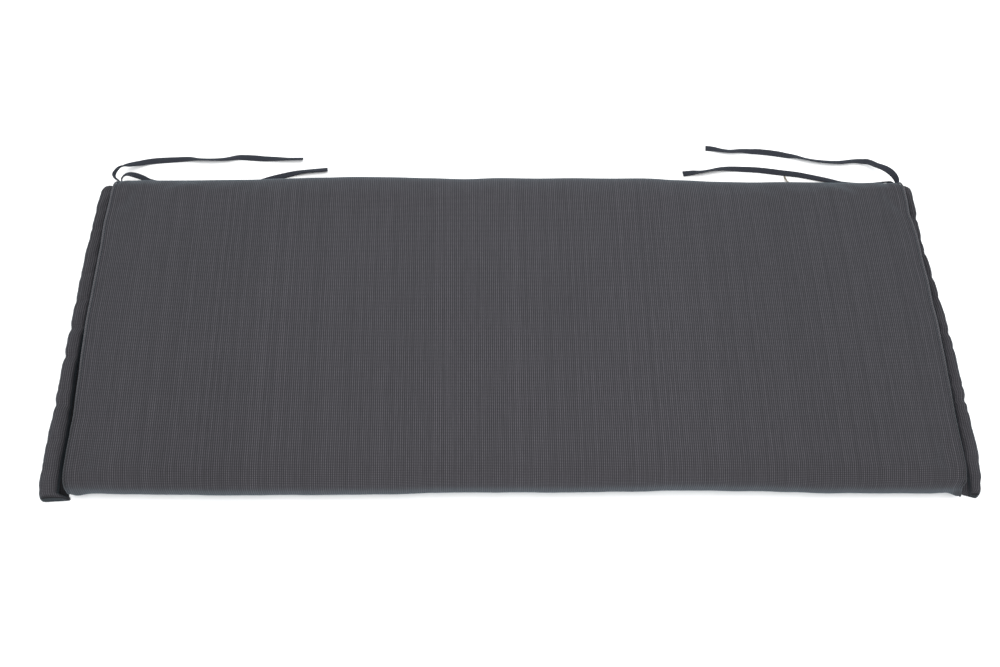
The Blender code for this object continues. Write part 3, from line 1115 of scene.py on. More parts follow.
# How far in the seam lies from the bowed short side: place along Y, distance.
SEAM_SHIFTS: dict[Side, Rows] = {
    Side.LEFT: (
        (-0.250, 0.0006),
        (-0.225, 0.0006),
        (-0.200, 0.0012),
        (-0.175, 0.0022),
        (-0.150, 0.0034),
        (-0.100, 0.0026),
        (-0.050, 0.0014),
        (0.000, 0.0006),
        (0.050, 0.0016),
        (0.120, 0.0021),
        (0.160, 0.0010),
        (0.200, 0.0024),
        (0.238, 0.0030),
        (0.250, 0.0048),
    ),
    Side.RIGHT: (
        (-0.250, 0.0065),
        (-0.243, 0.0014),
        (-0.225, 0.0002),
        (-0.200, 0.0006),
        (-0.175, 0.0012),
        (-0.150, 0.0016),
        (-0.100, 0.0008),
        (-0.050, 0.0002),
        (0.000, -0.0002),
        (0.030, 0.0008),
        (0.065, 0.0),
        (0.100, 0.0010),
        (0.135, 0.0006),
        (0.162, 0.0018),
        (0.185, 0.0044),
        (0.210, 0.0028),
        (0.225, 0.0030),
        (0.250, 0.0062),
    ),
}

# Cloth that sticks out or dips at the corners: x, y, z, radius, and the push along X, Y and Z.
CORNER_FOLDS: Rows = (
    (-0.587, -0.248, 0.006, 0.009, 0.0, -0.0036, -0.0010),
    (-0.566, -0.250, 0.010, 0.010, 0.0, 0.0010, 0.0),
    (0.597, -0.250, 0.006, 0.009, 0.0, -0.0085, 0.0),
    (0.582, -0.250, 0.012, 0.010, 0.0, 0.0012, 0.0),
    (0.600, 0.240, 0.030, 0.014, 0.0035, 0.0, 0.0),
    (-0.601, 0.247, 0.044, 0.012, 0.0014, -0.0014, -0.0024),
)


@dataclass
class Pad:
    """The filled pad with its seam welts and their stitches.

    A pair that names a place or a facing is the stretch over which a share grows from 0 to 1, or fades.
    """

    shape: PadShape = field(default_factory=PadShape)
    rows: int = 70
    sides: int = 6
    middle_slices: int = 108
    slack: float = 0.0016
    overfill: float = 0.0005
    fill: float = 0.8
    loose_from_end: Span = (0.004, 0.026)
    loose_facing_up: Span = (0.2, 0.98)
    facing_out: Span = (0.0, 0.8)
    facing_up: Span = (0.3, 0.9)
    back_lift_reach: float = 0.07
    gather_reach: float = 0.030
    gather_height: float = 0.0007
    gather_length: float = 0.068
    gather_from_end: Span = (0.001, 0.010)
    gather_offset: float = 3.7
    swell_height: float = 0.0007
    swell_lengths: Span = (0.46, 0.31)
    swell_slant: float = 0.1
    swell_from_end: Span = (0.0, 0.08)
    shift_from_end: Span = (0.004, 0.060)
    shift_above: Span = (0.008, 0.038)
    ripple_depth: float = 0.0005
    ripple_length: float = 0.11
    ripple_facing_out: Span = (0.2, 0.8)
    ripple_from_end: Span = (0.0, 0.03)
    welt_width: float = 0.0030
    welt_offset: float = 0.0009
    welt_front_share: float = 0.25
    welt_grows: Span = (-0.21, 0.0)
    welt_wobble: float = 0.0002
    welt_wobble_length: float = 0.09
    line_points: int = 260

    def __post_init__(self) -> None:
        """Lays out the rings along X and the outline round them."""
        self.section, self.facing, self.marks = self.shape.outline(self.rows, self.sides)
        from_end, insets = np.array(END_RINGS).T
        near = self.shape.length / 2 - from_end
        middle = np.linspace(-near[-1], near[-1], self.middle_slices + 1)[1:-1]
        self.places = np.concatenate([-near, middle, near[::-1]])
        self.insets = np.concatenate([insets, np.zeros(len(middle)), insets[::-1]])

    def ring_points(self) -> np.ndarray:
        """Places of the sharp pad's rings, one row of points for each ring."""
        yz = self.section[None] - self.insets[:, None, None] * self.facing[None]
        x = np.broadcast_to(self.places[:, None], yz.shape[:2])
        return np.concatenate([x[..., None], yz], axis=-1)

    def four_sides(self, ring: np.ndarray) -> tuple[np.ndarray, ...]:
        """A ring's bottom and top from front to back, and its front and back from the bottom up.

        Args:
            ring: A value for each vertex round the ring.

        Returns:
            The values along the bottom, the back, the top and the front, all with their corners.
        """
        closed = np.concatenate([ring, ring[:1]])
        back_foot = self.rows
        back_top = back_foot + self.sides
        front_top = back_top + self.rows
        bottom = closed[: back_foot + 1]
        back = closed[back_foot : back_top + 1]
        top = closed[back_top : front_top + 1][::-1]
        front = closed[front_top:][::-1]
        return bottom, back, top, front

    def end_grid(self, ring: np.ndarray) -> np.ndarray:
        """Places inside an end ring, blended from its four sides, as a grid along Y and Z."""
        bottom, back, top, front = self.four_sides(ring)
        u = np.linspace(0, 1, self.rows + 1)[:, None, None]
        v = np.linspace(0, 1, self.sides + 1)[None, :, None]
        blended = (1 - v) * bottom[:, None] + v * top[:, None] + (1 - u) * front[None] + u * back[None]
        corners = (1 - u) * (1 - v) * bottom[0] + u * (1 - v) * bottom[-1]
        corners = corners + (1 - u) * v * top[0] + u * v * top[-1]
        return blended - corners

    def cover(self) -> Object:
        """The cover as a closed mesh, before it is filled.

        Returns:
            The cover. Its first vertices are the rings', in order, and the end panels' follow.
        """
        sharp = self.ring_points()
        ring_count, loop = sharp.shape[:2]
        faces: list[tuple[int, ...]] = []
        uvs: list[tuple[float, float]] = []
        for corners in ring_corners(ring_count, loop):
            on_panel = not SEAM_RING <= corners[0][0] < ring_count - 1 - SEAM_RING
            faces.append(tuple(ring * loop + index for ring, _, index in corners))
            for ring, mark, index in corners:
                x, y, z = sharp[ring, index]
                uvs.append((PANEL_UV + y, z) if on_panel else (x, self.marks[mark]))
        points = [sharp.reshape(-1, 3)]
        count = ring_count * loop
        for ring, direction in ((0, -1), (ring_count - 1, 1)):
            grid = self.end_grid(sharp[ring])
            inner = grid[1:-1, 1:-1]
            numbers = np.empty(grid.shape[:2], int)
            border = self.four_sides(ring * loop + np.arange(loop))
            numbers[:, 0], numbers[-1], numbers[:, -1], numbers[0] = border
            numbers[1:-1, 1:-1] = count + np.arange(inner[..., 0].size).reshape(inner.shape[:2])
            count += inner[..., 0].size
            points.append(inner.reshape(-1, 3))
            for j in range(self.rows):
                for k in range(self.sides):
                    corners = ((j, k), (j + 1, k), (j + 1, k + 1), (j, k + 1))[::direction]
                    faces.append(tuple(int(numbers[corner]) for corner in corners))
                    uvs.extend((PANEL_UV + grid[corner][1], grid[corner][2]) for corner in corners)
        self.sharp = np.concatenate(points)
        return mesh_object("pad_cover", self.slim(), faces, np.array(uvs))

    def from_end(self) -> np.ndarray:
        """How far inside the nearer end plane each vertex lies before filling."""
        return self.shape.length / 2 - np.abs(self.sharp[:, 0])

    def facing_of_all(self) -> np.ndarray:
        """Outward directions across X of all vertices, zero inside the end panels."""
        outward = np.zeros_like(self.sharp)
        outward[: len(self.places) * len(self.facing), 1:] = np.tile(self.facing, (len(self.places), 1))
        return outward

    def looseness(self) -> np.ndarray:
        """Share of the slack at each vertex: none at the seams, at the firm edges and on the underside."""
        off_seam = smooth_step(self.from_end(), *self.loose_from_end)
        upward = smooth_step(self.facing_of_all()[:, 2], *self.loose_facing_up)
        return off_seam * upward

    def slim(self) -> np.ndarray:
        """The vertices before filling: the softened pad, drawn in by the slack."""
        shaped = self.shape.softened(self.sharp)
        on_panel = self.from_end() < END_RINGS[1][0] / 2
        dome = self.shape.dome(self.sharp[:, 1], self.sharp[:, 2]) * np.sign(self.sharp[:, 0])
        shaped[:, 0] += np.where(on_panel, dome, 0.0)
        return shaped - self.facing_of_all() * (self.slack * self.looseness())[:, None]

    def fill_cover(self, cover: Object) -> None:
        loose = self.looseness()
        travel = (self.slack + self.overfill) * loose
        Filling(pressure=6.0, growth=0.02, bending=0.3).swell(cover, loose, travel)

    def settle(self, points: np.ndarray) -> np.ndarray:
        """Adds the unevenness of a filled and handled cushion.

        Args:
            points: The filled cover's vertices.

        Returns:
            The vertices where the real cushion has them.
        """
        x, y, z = self.sharp.T
        from_end = self.from_end()
        _, backward, upward = self.facing_of_all().T
        settled = points.copy()
        front_wave, back_wave, back_lift = eased(EDGE_WAVES, x).T
        settled[:, 1] -= front_wave * smooth_step(-backward, *self.facing_out)
        settled[:, 1] += back_wave * smooth_step(backward, *self.facing_out)
        near_back = np.exp(-(((self.shape.depth / 2 - y) / self.back_lift_reach) ** 2))
        settled[:, 2] += back_lift * near_back * z / self.shape.thickness

        on_top = smooth_step(upward, *self.facing_up)
        reach = np.exp(-from_end / self.gather_reach) * smooth_step(from_end, *self.gather_from_end)
        offset = np.where(x < 0, 0.0, self.gather_offset)
        gathers = waviness(y + offset, self.gather_length, Seed.GATHERS)
        settled[:, 2] += self.gather_height * gathers * reach * on_top
        along, across = self.swell_lengths
        slow = waviness(x, along, Seed.SWELL_ALONG)
        slow = slow * waviness(y + self.swell_slant * x, across, Seed.SWELL_ACROSS)
        settled[:, 2] += self.swell_height * slow * on_top * smooth_step(from_end, *self.swell_from_end)

        near, far = self.shift_from_end
        near_end = smooth_step(-from_end, -far, -near) * smooth_step(z, *self.shift_above)
        for side in Side:
            shift = eased(SEAM_SHIFTS[side], y)[:, 0] * near_end
            settled[:, 0] -= side.value * np.where(x * side.value > 0, shift, 0.0)

        ripples = waviness(x, self.ripple_length, Seed.FRONT_RIPPLES)
        ripples = ripples * smooth_step(-backward, *self.ripple_facing_out)
        settled[:, 1] -= self.ripple_depth * ripples * smooth_step(from_end, *self.ripple_from_end)

        for fold_x, fold_y, fold_z, radius, *push in CORNER_FOLDS:
            distance = np.linalg.norm(self.sharp - (fold_x, fold_y, fold_z), axis=1)
            settled += np.exp(-((distance / radius) ** 2))[:, None] * np.array(push)
        settled[:, 2] = np.maximum(settled[:, 2], 0.0)
        return settled

    def seam_line(
        self, rough: np.ndarray, side: Side, ring: int, first: float
    ) -> tuple[np.ndarray, np.ndarray]:
        """A line that runs up the front, along the top and down the back on one ring.

        Args:
            rough: The settled vertices of the rough cover.
            side: The short side.
            ring: The ring, counted from the end plane.
            first: How far from the lower corners it starts and ends, in steps of the outline.

        Returns:
            The line's points and the outward directions across X there.
        """
        loop = len(self.facing)
        ring_index = ring if side is Side.LEFT else len(self.places) - 1 - ring
        order = np.arange(loop, self.rows - 1, -1) % loop
        places = np.linspace(first, len(order) - 1 - first, self.line_points)
        across = np.zeros((self.line_points, 3))
        across[:, 1:] = normalized(smooth_curve(self.facing[order], places))
        return smooth_curve(rough[ring_index * loop + order], places), across

    def welt(self, rough: np.ndarray, side: Side, shop: Workshop) -> Object:
        """The raised seam of one short side."""
        line, across = self.seam_line(rough, side, SEAM_RING, first=0.3)
        outward = np.array([float(side.value), 0.0, 0.0])
        grown = smooth_step(line[:, 1], *self.welt_grows)
        proud = self.welt_offset * (self.welt_front_share + (1 - self.welt_front_share) * grown)
        line = line + (across + outward) * proud[:, None]
        wobble = waviness(line[:, 1] + line[:, 2], self.welt_wobble_length, Seed.WELT + side.value)
        name = f"end_welt_{side.label}"
        piece = shop.strip.make(
            f"{name}_cloth",
            line + across * (self.welt_wobble * wobble)[:, None],
            np.broadcast_to(outward, line.shape),
            Width=self.welt_width,
            Thickness=self.welt_width,
            Edge_steps=4,
            Finish=shop.welt,
        )
        return fit_piece(piece, Slot.WELT, name)

    def seam_stitches(self, rough: np.ndarray, side: Side, shop: Workshop) -> Object:
        """The row of stitches beside a welt."""
        line, across = self.seam_line(rough, side, STITCH_RING, first=1.5)
        name = f"seam_stitches_{side.label}"
        seed = Seed.SEAM_STITCHES + side.value
        piece = shop.stitches.make(name, line, across, Seed=seed, Finish=shop.seam_thread)
        return fit_piece(piece, Slot.WELT)

    def build(self, shop: Workshop) -> None:
        """Makes and dresses the pad, from the shared trees and materials."""
        cover = self.cover()
        self.fill_cover(cover)
        rough = self.settle(coordinates(cover.data))
        set_coordinates(cover.data, rough)
        cover = subdivided(cover)
        cover.data.materials.append(shop.cover)
        fit_piece(cover, Slot.COVER, "pad")
        for side in Side:
            self.welt(rough, side, shop)
            self.seam_stitches(rough, side, shop)


# --- Side flaps -----------------------------------------------------------------------------------

# Flap sections from front to back: place along Y, reach past the pad's end plane, height, the distance
# from that plane at which the flap rises from its sewn hem to its roll, and how steeply it rises there,
# from 0 to 1.
FLAP_SECTIONS: dict[Side, Rows] = {
    Side.LEFT: (
        (-0.256, 0.0367, 0.0145, 0.0015, 0.10),
        (-0.2525, 0.0382, 0.0147, 0.0030, 0.30),
        (-0.246, 0.0402, 0.0149, 0.0137, 1.00),
        (-0.228, 0.0422, 0.0155, 0.0140, 1.00),
        (-0.200, 0.0426, 0.0150, 0.0146, 1.00),
        (-0.160, 0.0419, 0.0145, 0.0143, 1.00),
        (-0.125, 0.0404, 0.0140, 0.0156, 1.00),
        (-0.060, 0.0396, 0.0138, 0.0177, 1.00),
        (-0.015, 0.0389, 0.0135, 0.0174, 0.75),
        (0.023, 0.0380, 0.0130, 0.0157, 0.55),
        (0.080, 0.0370, 0.0125, 0.0139, 0.52),
        (0.130, 0.0358, 0.0120, 0.0134, 0.50),
        (0.175, 0.0330, 0.0120, 0.0132, 0.40),
        (0.215, 0.0309, 0.0122, 0.0110, 0.35),
        (0.245, 0.0282, 0.0120, 0.0097, 0.25),
        (0.262, 0.0254, 0.0110, 0.0098, 0.20),
    ),
    Side.RIGHT: (
        (-0.256, 0.0290, 0.0140, 0.0152, 0.70),
        (-0.245, 0.0310, 0.0148, 0.0152, 0.70),
        (-0.225, 0.0348, 0.0150, 0.0164, 0.67),
        (-0.190, 0.0386, 0.0142, 0.0169, 0.65),
        (-0.150, 0.0381, 0.0138, 0.0178, 0.62),
        (-0.100, 0.0383, 0.0136, 0.0191, 0.42),
        (-0.050, 0.0379, 0.0132, 0.0200, 0.32),
        (-0.010, 0.0368, 0.0130, 0.0208, 0.28),
        (0.025, 0.0350, 0.0128, 0.0199, 0.24),
        (0.070, 0.0318, 0.0125, 0.0198, 0.20),
        (0.105, 0.0294, 0.0122, 0.0185, 0.16),
        (0.150, 0.0261, 0.0120, 0.0165, 0.18),
        (0.185, 0.0256, 0.0118, 0.0143, 0.15),
        (0.215, 0.0268, 0.0120, 0.0145, 0.13),
        (0.240, 0.0266, 0.0122, 0.0142, 0.11),
        (0.252, 0.0266, 0.0124, 0.0110, 0.20),
        (0.262, 0.0264, 0.0124, 0.0060, 0.40),
    ),
}

# Puckers in a flap's outer edge: place along Y, depth, half width.
FLAP_PUCKERS: dict[Side, Rows] = {
    Side.LEFT: (
        (0.179, 0.0006, 0.006),
        (0.095, 0.0004, 0.006),
        (0.053, 0.0010, 0.006),
        (0.006, 0.0017, 0.007),
        (-0.039, 0.0016, 0.007),
        (-0.093, 0.0004, 0.006),
        (-0.115, 0.0016, 0.007),
        (-0.170, 0.0005, 0.006),
        (-0.212, 0.0004, 0.006),
    ),
    Side.RIGHT: (
        (0.203, 0.0018, 0.006),
        (0.161, 0.0009, 0.006),
        (0.139, 0.0008, 0.005),
        (0.094, 0.0010, 0.006),
        (0.057, 0.0005, 0.005),
        (-0.002, 0.0014, 0.007),
        (-0.027, 0.0006, 0.005),
        (-0.088, 0.0008, 0.006),
        (-0.111, 0.0019, 0.006),
        (-0.127, 0.0008, 0.005),
        (-0.206, 0.0005, 0.006),
    ),
}

# Outline of a flap's section, from its outermost line over the top, round the hem and back underneath:
# across and up for a gentle rise, then across and up for a steep one. Across: -1 at the pad, 0 at the
# foot of the roll, 1 outermost. Up: 0 on the surface, 1 at the roll's top.
FLAP_PROFILE: Rows = (
    (1.00, 0.36, 1.00, 0.36),
    (0.985, 0.56, 0.985, 0.56),
    (0.94, 0.75, 0.94, 0.75),
    (0.86, 0.90, 0.86, 0.90),
    (0.75, 0.98, 0.75, 0.98),
    (0.62, 1.00, 0.60, 1.00),
    (0.48, 0.96, 0.44, 0.98),
    (0.34, 0.89, 0.28, 0.93),
    (0.20, 0.78, 0.15, 0.85),
    (0.10, 0.66, 0.07, 0.70),
    (0.03, 0.50, 0.05, 0.48),
    (-0.03, 0.36, 0.07, 0.24),
    (-0.20, 0.29, -0.10, 0.13),
    (-0.60, 0.28, -0.50, 0.11),
    (-0.90, 0.29, -0.90, 0.12),
    (-1.00, 0.22, -1.00, 0.10),
    (-1.00, 0.07, -1.00, 0.04),
    (-0.90, 0.0, -0.90, 0.0),
    (-0.50, 0.0, -0.50, 0.0),
    (0.0, 0.0, 0.0, 0.0),
    (0.40, 0.0, 0.40, 0.0),
    (0.80, 0.0, 0.80, 0.0),
    (0.93, 0.03, 0.93, 0.03),
    (0.985, 0.16, 0.985, 0.16),
)

# Shapes of a flap's ends: distance from the end, and the section's share there.
SQUARE_END: Rows = ((0.0, 0.90), (0.0006, 0.955), (0.0020, 0.985), (0.0050, 1.0))
ROUND_END: Rows = ((0.0, 0.66), (0.0010, 0.78), (0.0030, 0.89), (0.0065, 0.965), (0.0110, 1.0))


@dataclass(frozen=True)
class FlapEnds:
    """How one flap ends: where, in which shapes, and how far it is pushed along Y and tucked at the front.

    The pushes are those at the pad's side and at the outer edge. The crease is how strongly shade is painted
    into the crease beside the pad where the roll is gentle, and how much more where the roll is steep.
    """

    back: float
    front_shape: Rows
    back_shape: Rows
    front_push: Span
    back_push: Span
    tuck: float
    crease: Span
    reach: float = 0.022


FLAP_ENDS = {
    Side.LEFT: FlapEnds(
        0.2600, SQUARE_END, ROUND_END, (0.0022, 0.0), (0.0020, -0.0010), tuck=0.0036, crease=(0.25, 0.75)
    ),
    Side.RIGHT: FlapEnds(
        0.2625, ROUND_END, SQUARE_END, (0.0046, -0.0006), (0.0068, -0.0055), tuck=0.0, crease=(-0.1, 0.4)
    ),
}


@dataclass
class SideFlap:
    """The soft flap along the foot of one short side.

    A pair that names a place is the stretch over which a share grows from 0 to 1, or fades.
    """

    side: Side
    shape: PadShape
    front: float = -0.2555
    stations: int = 190
    ring_points: int = 40
    profile_steps: int = 16
    profile_stretch: Span = (1.3, 1.0)
    pucker_drop: float = 0.5
    sewn_gap: float = 0.0010
    least_swell: float = 0.0009
    sewn_level: float = 0.3
    tuck_ends: Span = (-0.2520, -0.2495)
    least_hem: float = 0.002
    least_roll: float = 0.006
    cap_shares: tuple[float, ...] = (0.93, 0.75, 0.45)
    fill: float = 0.35
    slack: float = 0.0006
    loose_above: Span = (0.004, 0.009)
    loose_past_foot: Span = (-0.001, 0.004)
    loose_from_end: Span = (0.002, 0.010)
    # Painted shade: where the flap's colour is darkened, beside the pad and at its front end.
    shade_past_foot: Span = (0.0, 0.0045)
    shade_from_front: Span = (0.001, 0.005)
    crease: float = 0.8
    crease_above: Span = (0.003, 0.010)
    crease_slants: Span = (-0.2, 0.25)
    crease_width: float = 0.45
    crease_inner_share: float = 0.35
    bulge_share: float = 0.4
    bulge_place: float = 1.3
    bulge_width: float = 0.8
    edge_wave: float = 0.0002
    edge_wave_length: float = 0.07
    edge_outward: Span = (0.6, 1.0)
    top_wave: float = 0.0005
    top_wave_length: float = 0.05
    top_wave_slant: float = 0.3
    stitch_inset: float = 0.0045
    stitch_lift: float = 0.0001
    stitch_pitch: float = 3.6 * MILLIMETRE
    stitch_lean: Span = (0.35, 0.94)
    stitchless_sections: int = 4

    def __post_init__(self) -> None:
        """Looks up the tables of this side."""
        self.ends = FLAP_ENDS[self.side]
        self.puckers = FLAP_PUCKERS[self.side]

    def sections(self, y: np.ndarray) -> np.ndarray:
        """Reach, height, foot and steepness of the flap at these places, one row for each of the four."""
        return eased(FLAP_SECTIONS[self.side], y).T

    def places(self) -> np.ndarray:
        """Places of the sections along Y, closer at the ends."""
        fronts = self.front + np.array(self.ends.front_shape)[:, 0]
        backs = self.ends.back - np.array(self.ends.back_shape)[:, 0]
        middle = np.linspace(fronts[-1], backs[-1], self.stations)[1:-1]
        return np.concatenate([fronts, middle, backs[::-1]])

    def end_share(self, y: np.ndarray) -> np.ndarray:
        """Share of the full section that is left this near to an end."""
        front = eased(self.ends.front_shape, y - self.front)[:, 0]
        back = eased(self.ends.back_shape, self.ends.back - y)[:, 0]
        return np.minimum(front, back)

    def pucker(self, y: np.ndarray) -> np.ndarray:
        """How deep the puckers are at these places."""
        total = np.zeros_like(y)
        for place, depth, half_width in self.puckers:
            total += depth * np.exp(-(((y - place) / half_width) ** 2))
        return total

    def profile(self, steepness: float) -> np.ndarray:
        """Evenly spaced points of the section's outline, one row for each."""
        table = np.array(FLAP_PROFILE)
        rows = table[:, :2] * (1 - steepness) + table[:, 2:] * steepness
        closed = np.concatenate([rows[-2:], rows, rows[:3]])
        places = np.linspace(2.0, 2.0 + len(rows), self.profile_steps * len(rows) + 1)
        fine = smooth_curve(closed, places)
        spaced, _ = evenly(fine * self.profile_stretch, fine, self.ring_points + 1)
        return spaced[:-1] / self.profile_stretch

    def section_points(self) -> np.ndarray:
        """Places of the flap's sections: a roll beside a hem that is sewn to the pad."""
        y = self.places()
        reach, height, foot, steepness = self.sections(y)
        ends = self.ends
        pucker = self.pucker(y)
        share = self.end_share(y)
        top = (height - self.pucker_drop * pucker) * share
        swell = self.shape.bow(y) + self.shape.dome(y, self.sewn_level * height)
        inner = np.maximum(swell, self.least_swell) + self.sewn_gap
        inner = inner - ends.tuck * (1 - smooth_step(y, *self.tuck_ends))
        outer = reach - pucker
        foot = np.minimum(np.maximum(foot, inner + self.least_hem), outer - self.least_roll)
        across, up = np.stack([self.profile(float(value)) for value in steepness]).transpose(2, 0, 1)
        inner, outer, foot = inner[:, None], outer[:, None], foot[:, None]
        past = foot + np.where(across < 0, foot - inner, outer - foot) * across
        outward = np.clip((past - inner) / (outer - inner), 0.0, 1.0)
        centre = (inner + outer) / 2
        past = centre + (past - centre) * share[:, None]
        places = y[:, None]
        for from_end, push in ((y - self.front, ends.front_push), (ends.back - y, ends.back_push)):
            near = (1 - smooth_step(from_end, 0.0, ends.reach))[:, None]
            places = places + near * (push[0] + (push[1] - push[0]) * outward)
        x = self.side.value * (self.shape.length / 2 + past)
        return np.stack([x, places, top[:, None] * np.maximum(up, 0.0)], axis=-1)

    def cover(self) -> Object:
        """The flap as a closed mesh, before it is filled."""
        rings = self.section_points()
        count, loop = rings.shape[:2]
        steps = np.linalg.norm(np.diff(rings, axis=1, append=rings[:, :1]), axis=2)
        round_length = np.concatenate([np.zeros((count, 1)), np.cumsum(steps, axis=1)], axis=1)
        faces: list[tuple[int, ...]] = []
        uvs: list[tuple[float, float]] = []
        way = -self.side.value
        for corners in ring_corners(count, loop):
            faces.append(tuple(ring * loop + index for ring, _, index in corners[::way]))
            uvs.extend((round_length[ring, mark], rings[ring, 0, 1]) for ring, mark, _ in corners[::way])
        points = [rings.reshape(-1, 3)]
        total = count * loop
        for end, direction in ((0, -way), (count - 1, way)):
            middle = rings[end].mean(axis=0)
            cap = middle + (rings[end] - middle) * np.array([1.0, *self.cap_shares])[:, None, None]
            fresh = total + np.arange(len(self.cap_shares) * loop + 1)
            total += len(fresh)
            numbers = np.concatenate([end * loop + np.arange(loop), fresh[:-1]]).reshape(-1, loop)
            points.extend([cap[1:].reshape(-1, 3), middle[None]])
            between = ring_corners(len(cap), loop)
            pieces = [[(numbers[i, j], cap[i, j]) for i, _, j in face] for face in between]
            for j in range(loop):
                rim = [(numbers[-1, k], cap[-1, k]) for k in (j, (j + 1) % loop)]
                pieces.append([*rim, (fresh[-1], middle)])
            for piece in pieces:
                faces.append(tuple(int(number) for number, _ in piece[::direction]))
                uvs.extend((place[0], CAP_UV + place[2]) for _, place in piece[::direction])
        self.rest = np.concatenate(points)
        return mesh_object(f"side_flap_{self.side.label}_cover", self.rest, faces, np.array(uvs))

    def from_pad(self) -> np.ndarray:
        """How far past the pad's end plane each vertex lies before filling."""
        return np.abs(self.rest[:, 0]) - self.shape.length / 2

    def painted_shade(self) -> np.ndarray:
        """How much painted shade each vertex gets: shade painted into the crease beside the pad, over all the
        hem and the foot of the roll, and at the front end.
        """
        y = self.rest[:, 1]
        _, _, foot, steepness = self.sections(y)
        low = 1 - smooth_step(self.from_pad() - foot, *self.shade_past_foot)
        least, growth = self.ends.crease
        shadowed = low * np.maximum(least + growth * steepness, 0.0)
        front_shade = 1 - smooth_step(y - self.front, *self.shade_from_front)
        return np.maximum(shadowed, front_shade)

    def fill_cover(self, cover: Object) -> None:
        """Swells the roll a little between its puckers, by simulation; its hem and underside stay."""
        _, y, z = self.rest.T
        foot = self.sections(y)[2]
        from_end = np.minimum(y - self.front, self.ends.back - y)
        past_foot = self.from_pad() - foot
        loose = smooth_step(z, *self.loose_above) * smooth_step(past_foot, *self.loose_past_foot)
        loose = loose * smooth_step(from_end, *self.loose_from_end)
        Filling(pressure=4.0, growth=0.01, frames=14).swell(cover, loose, self.slack * loose)

    def settle(self, points: np.ndarray) -> np.ndarray:
        """Adds the creases that run in from the puckers and the waviness of the outer edge."""
        settled = points.copy()
        _, y, z = self.rest.T
        from_pad = self.from_pad()
        reach = self.sections(y)[0]
        outward = np.clip(from_pad / reach, 0.0, 1.0)
        lifted = smooth_step(z, *self.crease_above)
        spread = self.crease_inner_share + (1 - self.crease_inner_share) * outward
        for number, (place, depth, half_width) in enumerate(self.puckers):
            off = y - place - self.crease_slants[number % 2] * (reach - from_pad)
            near = np.exp(-((off / (self.crease_width * half_width)) ** 2))
            past = off - self.bulge_place * half_width
            beside = np.exp(-((past / (self.bulge_width * half_width)) ** 2))
            settled[:, 2] -= self.crease * depth * near * lifted * spread
            settled[:, 2] += self.bulge_share * self.crease * depth * beside * lifted * outward
        side = self.side.value
        edge = smooth_step(outward, *self.edge_outward)
        edge_wave = waviness(y, self.edge_wave_length, Seed.FLAP_EDGE + side)
        settled[:, 0] += side * self.edge_wave * edge_wave * edge
        slanted = y + self.top_wave_slant * from_pad
        top_wave = waviness(slanted, self.top_wave_length, Seed.FLAP_TOP + side)
        settled[:, 2] += self.top_wave * top_wave * lifted
        settled[:, 2] = np.maximum(settled[:, 2], 0.0)
        return settled

    def stitches(self, points: np.ndarray, shop: Workshop) -> Object:
        """The row of stitches inside the outer edge, on the settled vertices of the rough cover."""
        side = self.side.value
        count = len(self.places())
        rings = points[: count * self.ring_points].reshape(count, self.ring_points, 3)
        line = []
        for ring in rings[:, : self.ring_points // 2 + 1]:
            inset = abs(ring[0, 0]) - self.stitch_inset
            z = np.interp(-inset, -np.abs(ring[:, 0]), ring[:, 2])
            line.append((side * inset, ring[0, 1], z + self.stitch_lift))
        out, up = self.stitch_lean
        away = np.tile((out * side, 0.0, up), (count, 1))
        inside = slice(self.stitchless_sections, -self.stitchless_sections)
        piece = shop.stitches.make(
            f"flap_stitches_{self.side.label}",
            np.array(line)[inside],
            away[inside],
            Pitch=self.stitch_pitch,
            Seed=Seed.FLAP_STITCHES + side,
            Finish=shop.seam_thread,
        )
        return fit_piece(piece, Slot.FLAP)

    def build(self, shop: Workshop) -> None:
        """Makes and dresses the flap, from the shared trees and materials."""
        cover = self.cover()
        store_painted_shade(cover.data, self.painted_shade())
        self.fill_cover(cover)
        rough = self.settle(coordinates(cover.data))
        set_coordinates(cover.data, rough)
        cover = subdivided(cover)
        cover.data.materials.append(shop.flap)
        fit_piece(cover, Slot.FLAP, f"side_flap_{self.side.label}")
        self.stitches(rough, shop)


# --- Bands ----------------------------------------------------------------------------------------


@dataclass
class Band:
    """A flat narrow band that lies loose behind the pad."""

    route: str
    slot: Slot = Slot.TIE
    width: float = 0.010
    thickness: float = 0.002
    stations: int = 120
    fine_steps: int = 40

    def line(self) -> tuple[np.ndarray, np.ndarray]:
        """The band's centre line and the direction of its width at each point."""
        rows = np.array(ROUTES[self.route], float)
        places = np.linspace(0.0, len(rows) - 1, self.fine_steps * (len(rows) - 1) + 1)
        x, y, lift, turn = smooth_curve(rows, places).T
        turn = np.radians(turn)
        half_height = (self.width * np.abs(np.cos(turn)) + self.thickness * np.abs(np.sin(turn))) / 2
        centres = np.stack([x, y, np.maximum(lift, 0.0) + half_height], axis=1)
        points, turns = evenly(centres, turn[:, None], self.stations)
        direction = math.copysign(1.0, rows[-1][0] - rows[0][0])
        tangent = normalized(np.gradient(points, axis=0))
        side = normalized(np.cross(tangent, (0.0, 0.0, 1.0))) * direction
        up = np.cross(side, tangent) * direction
        return points, normalized(np.cos(turns) * up + np.sin(turns) * side)

    def build(self, shop: Workshop) -> None:
        """Makes and dresses the band, from the shared trees and materials."""
        points, across = self.line()
        piece = shop.strip.make(
            f"{self.route}_band",
            points,
            across,
            Width=self.width,
            Thickness=self.thickness,
            Edge_steps=3,
            Finish=shop.band if self.slot is Slot.TIE else shop.tab,
        )
        fit_piece(piece, self.slot, self.route)
        LOG.info("%s: %.3f m long", piece.name, line_length(points))


# --- Studio ---------------------------------------------------------------------------------------


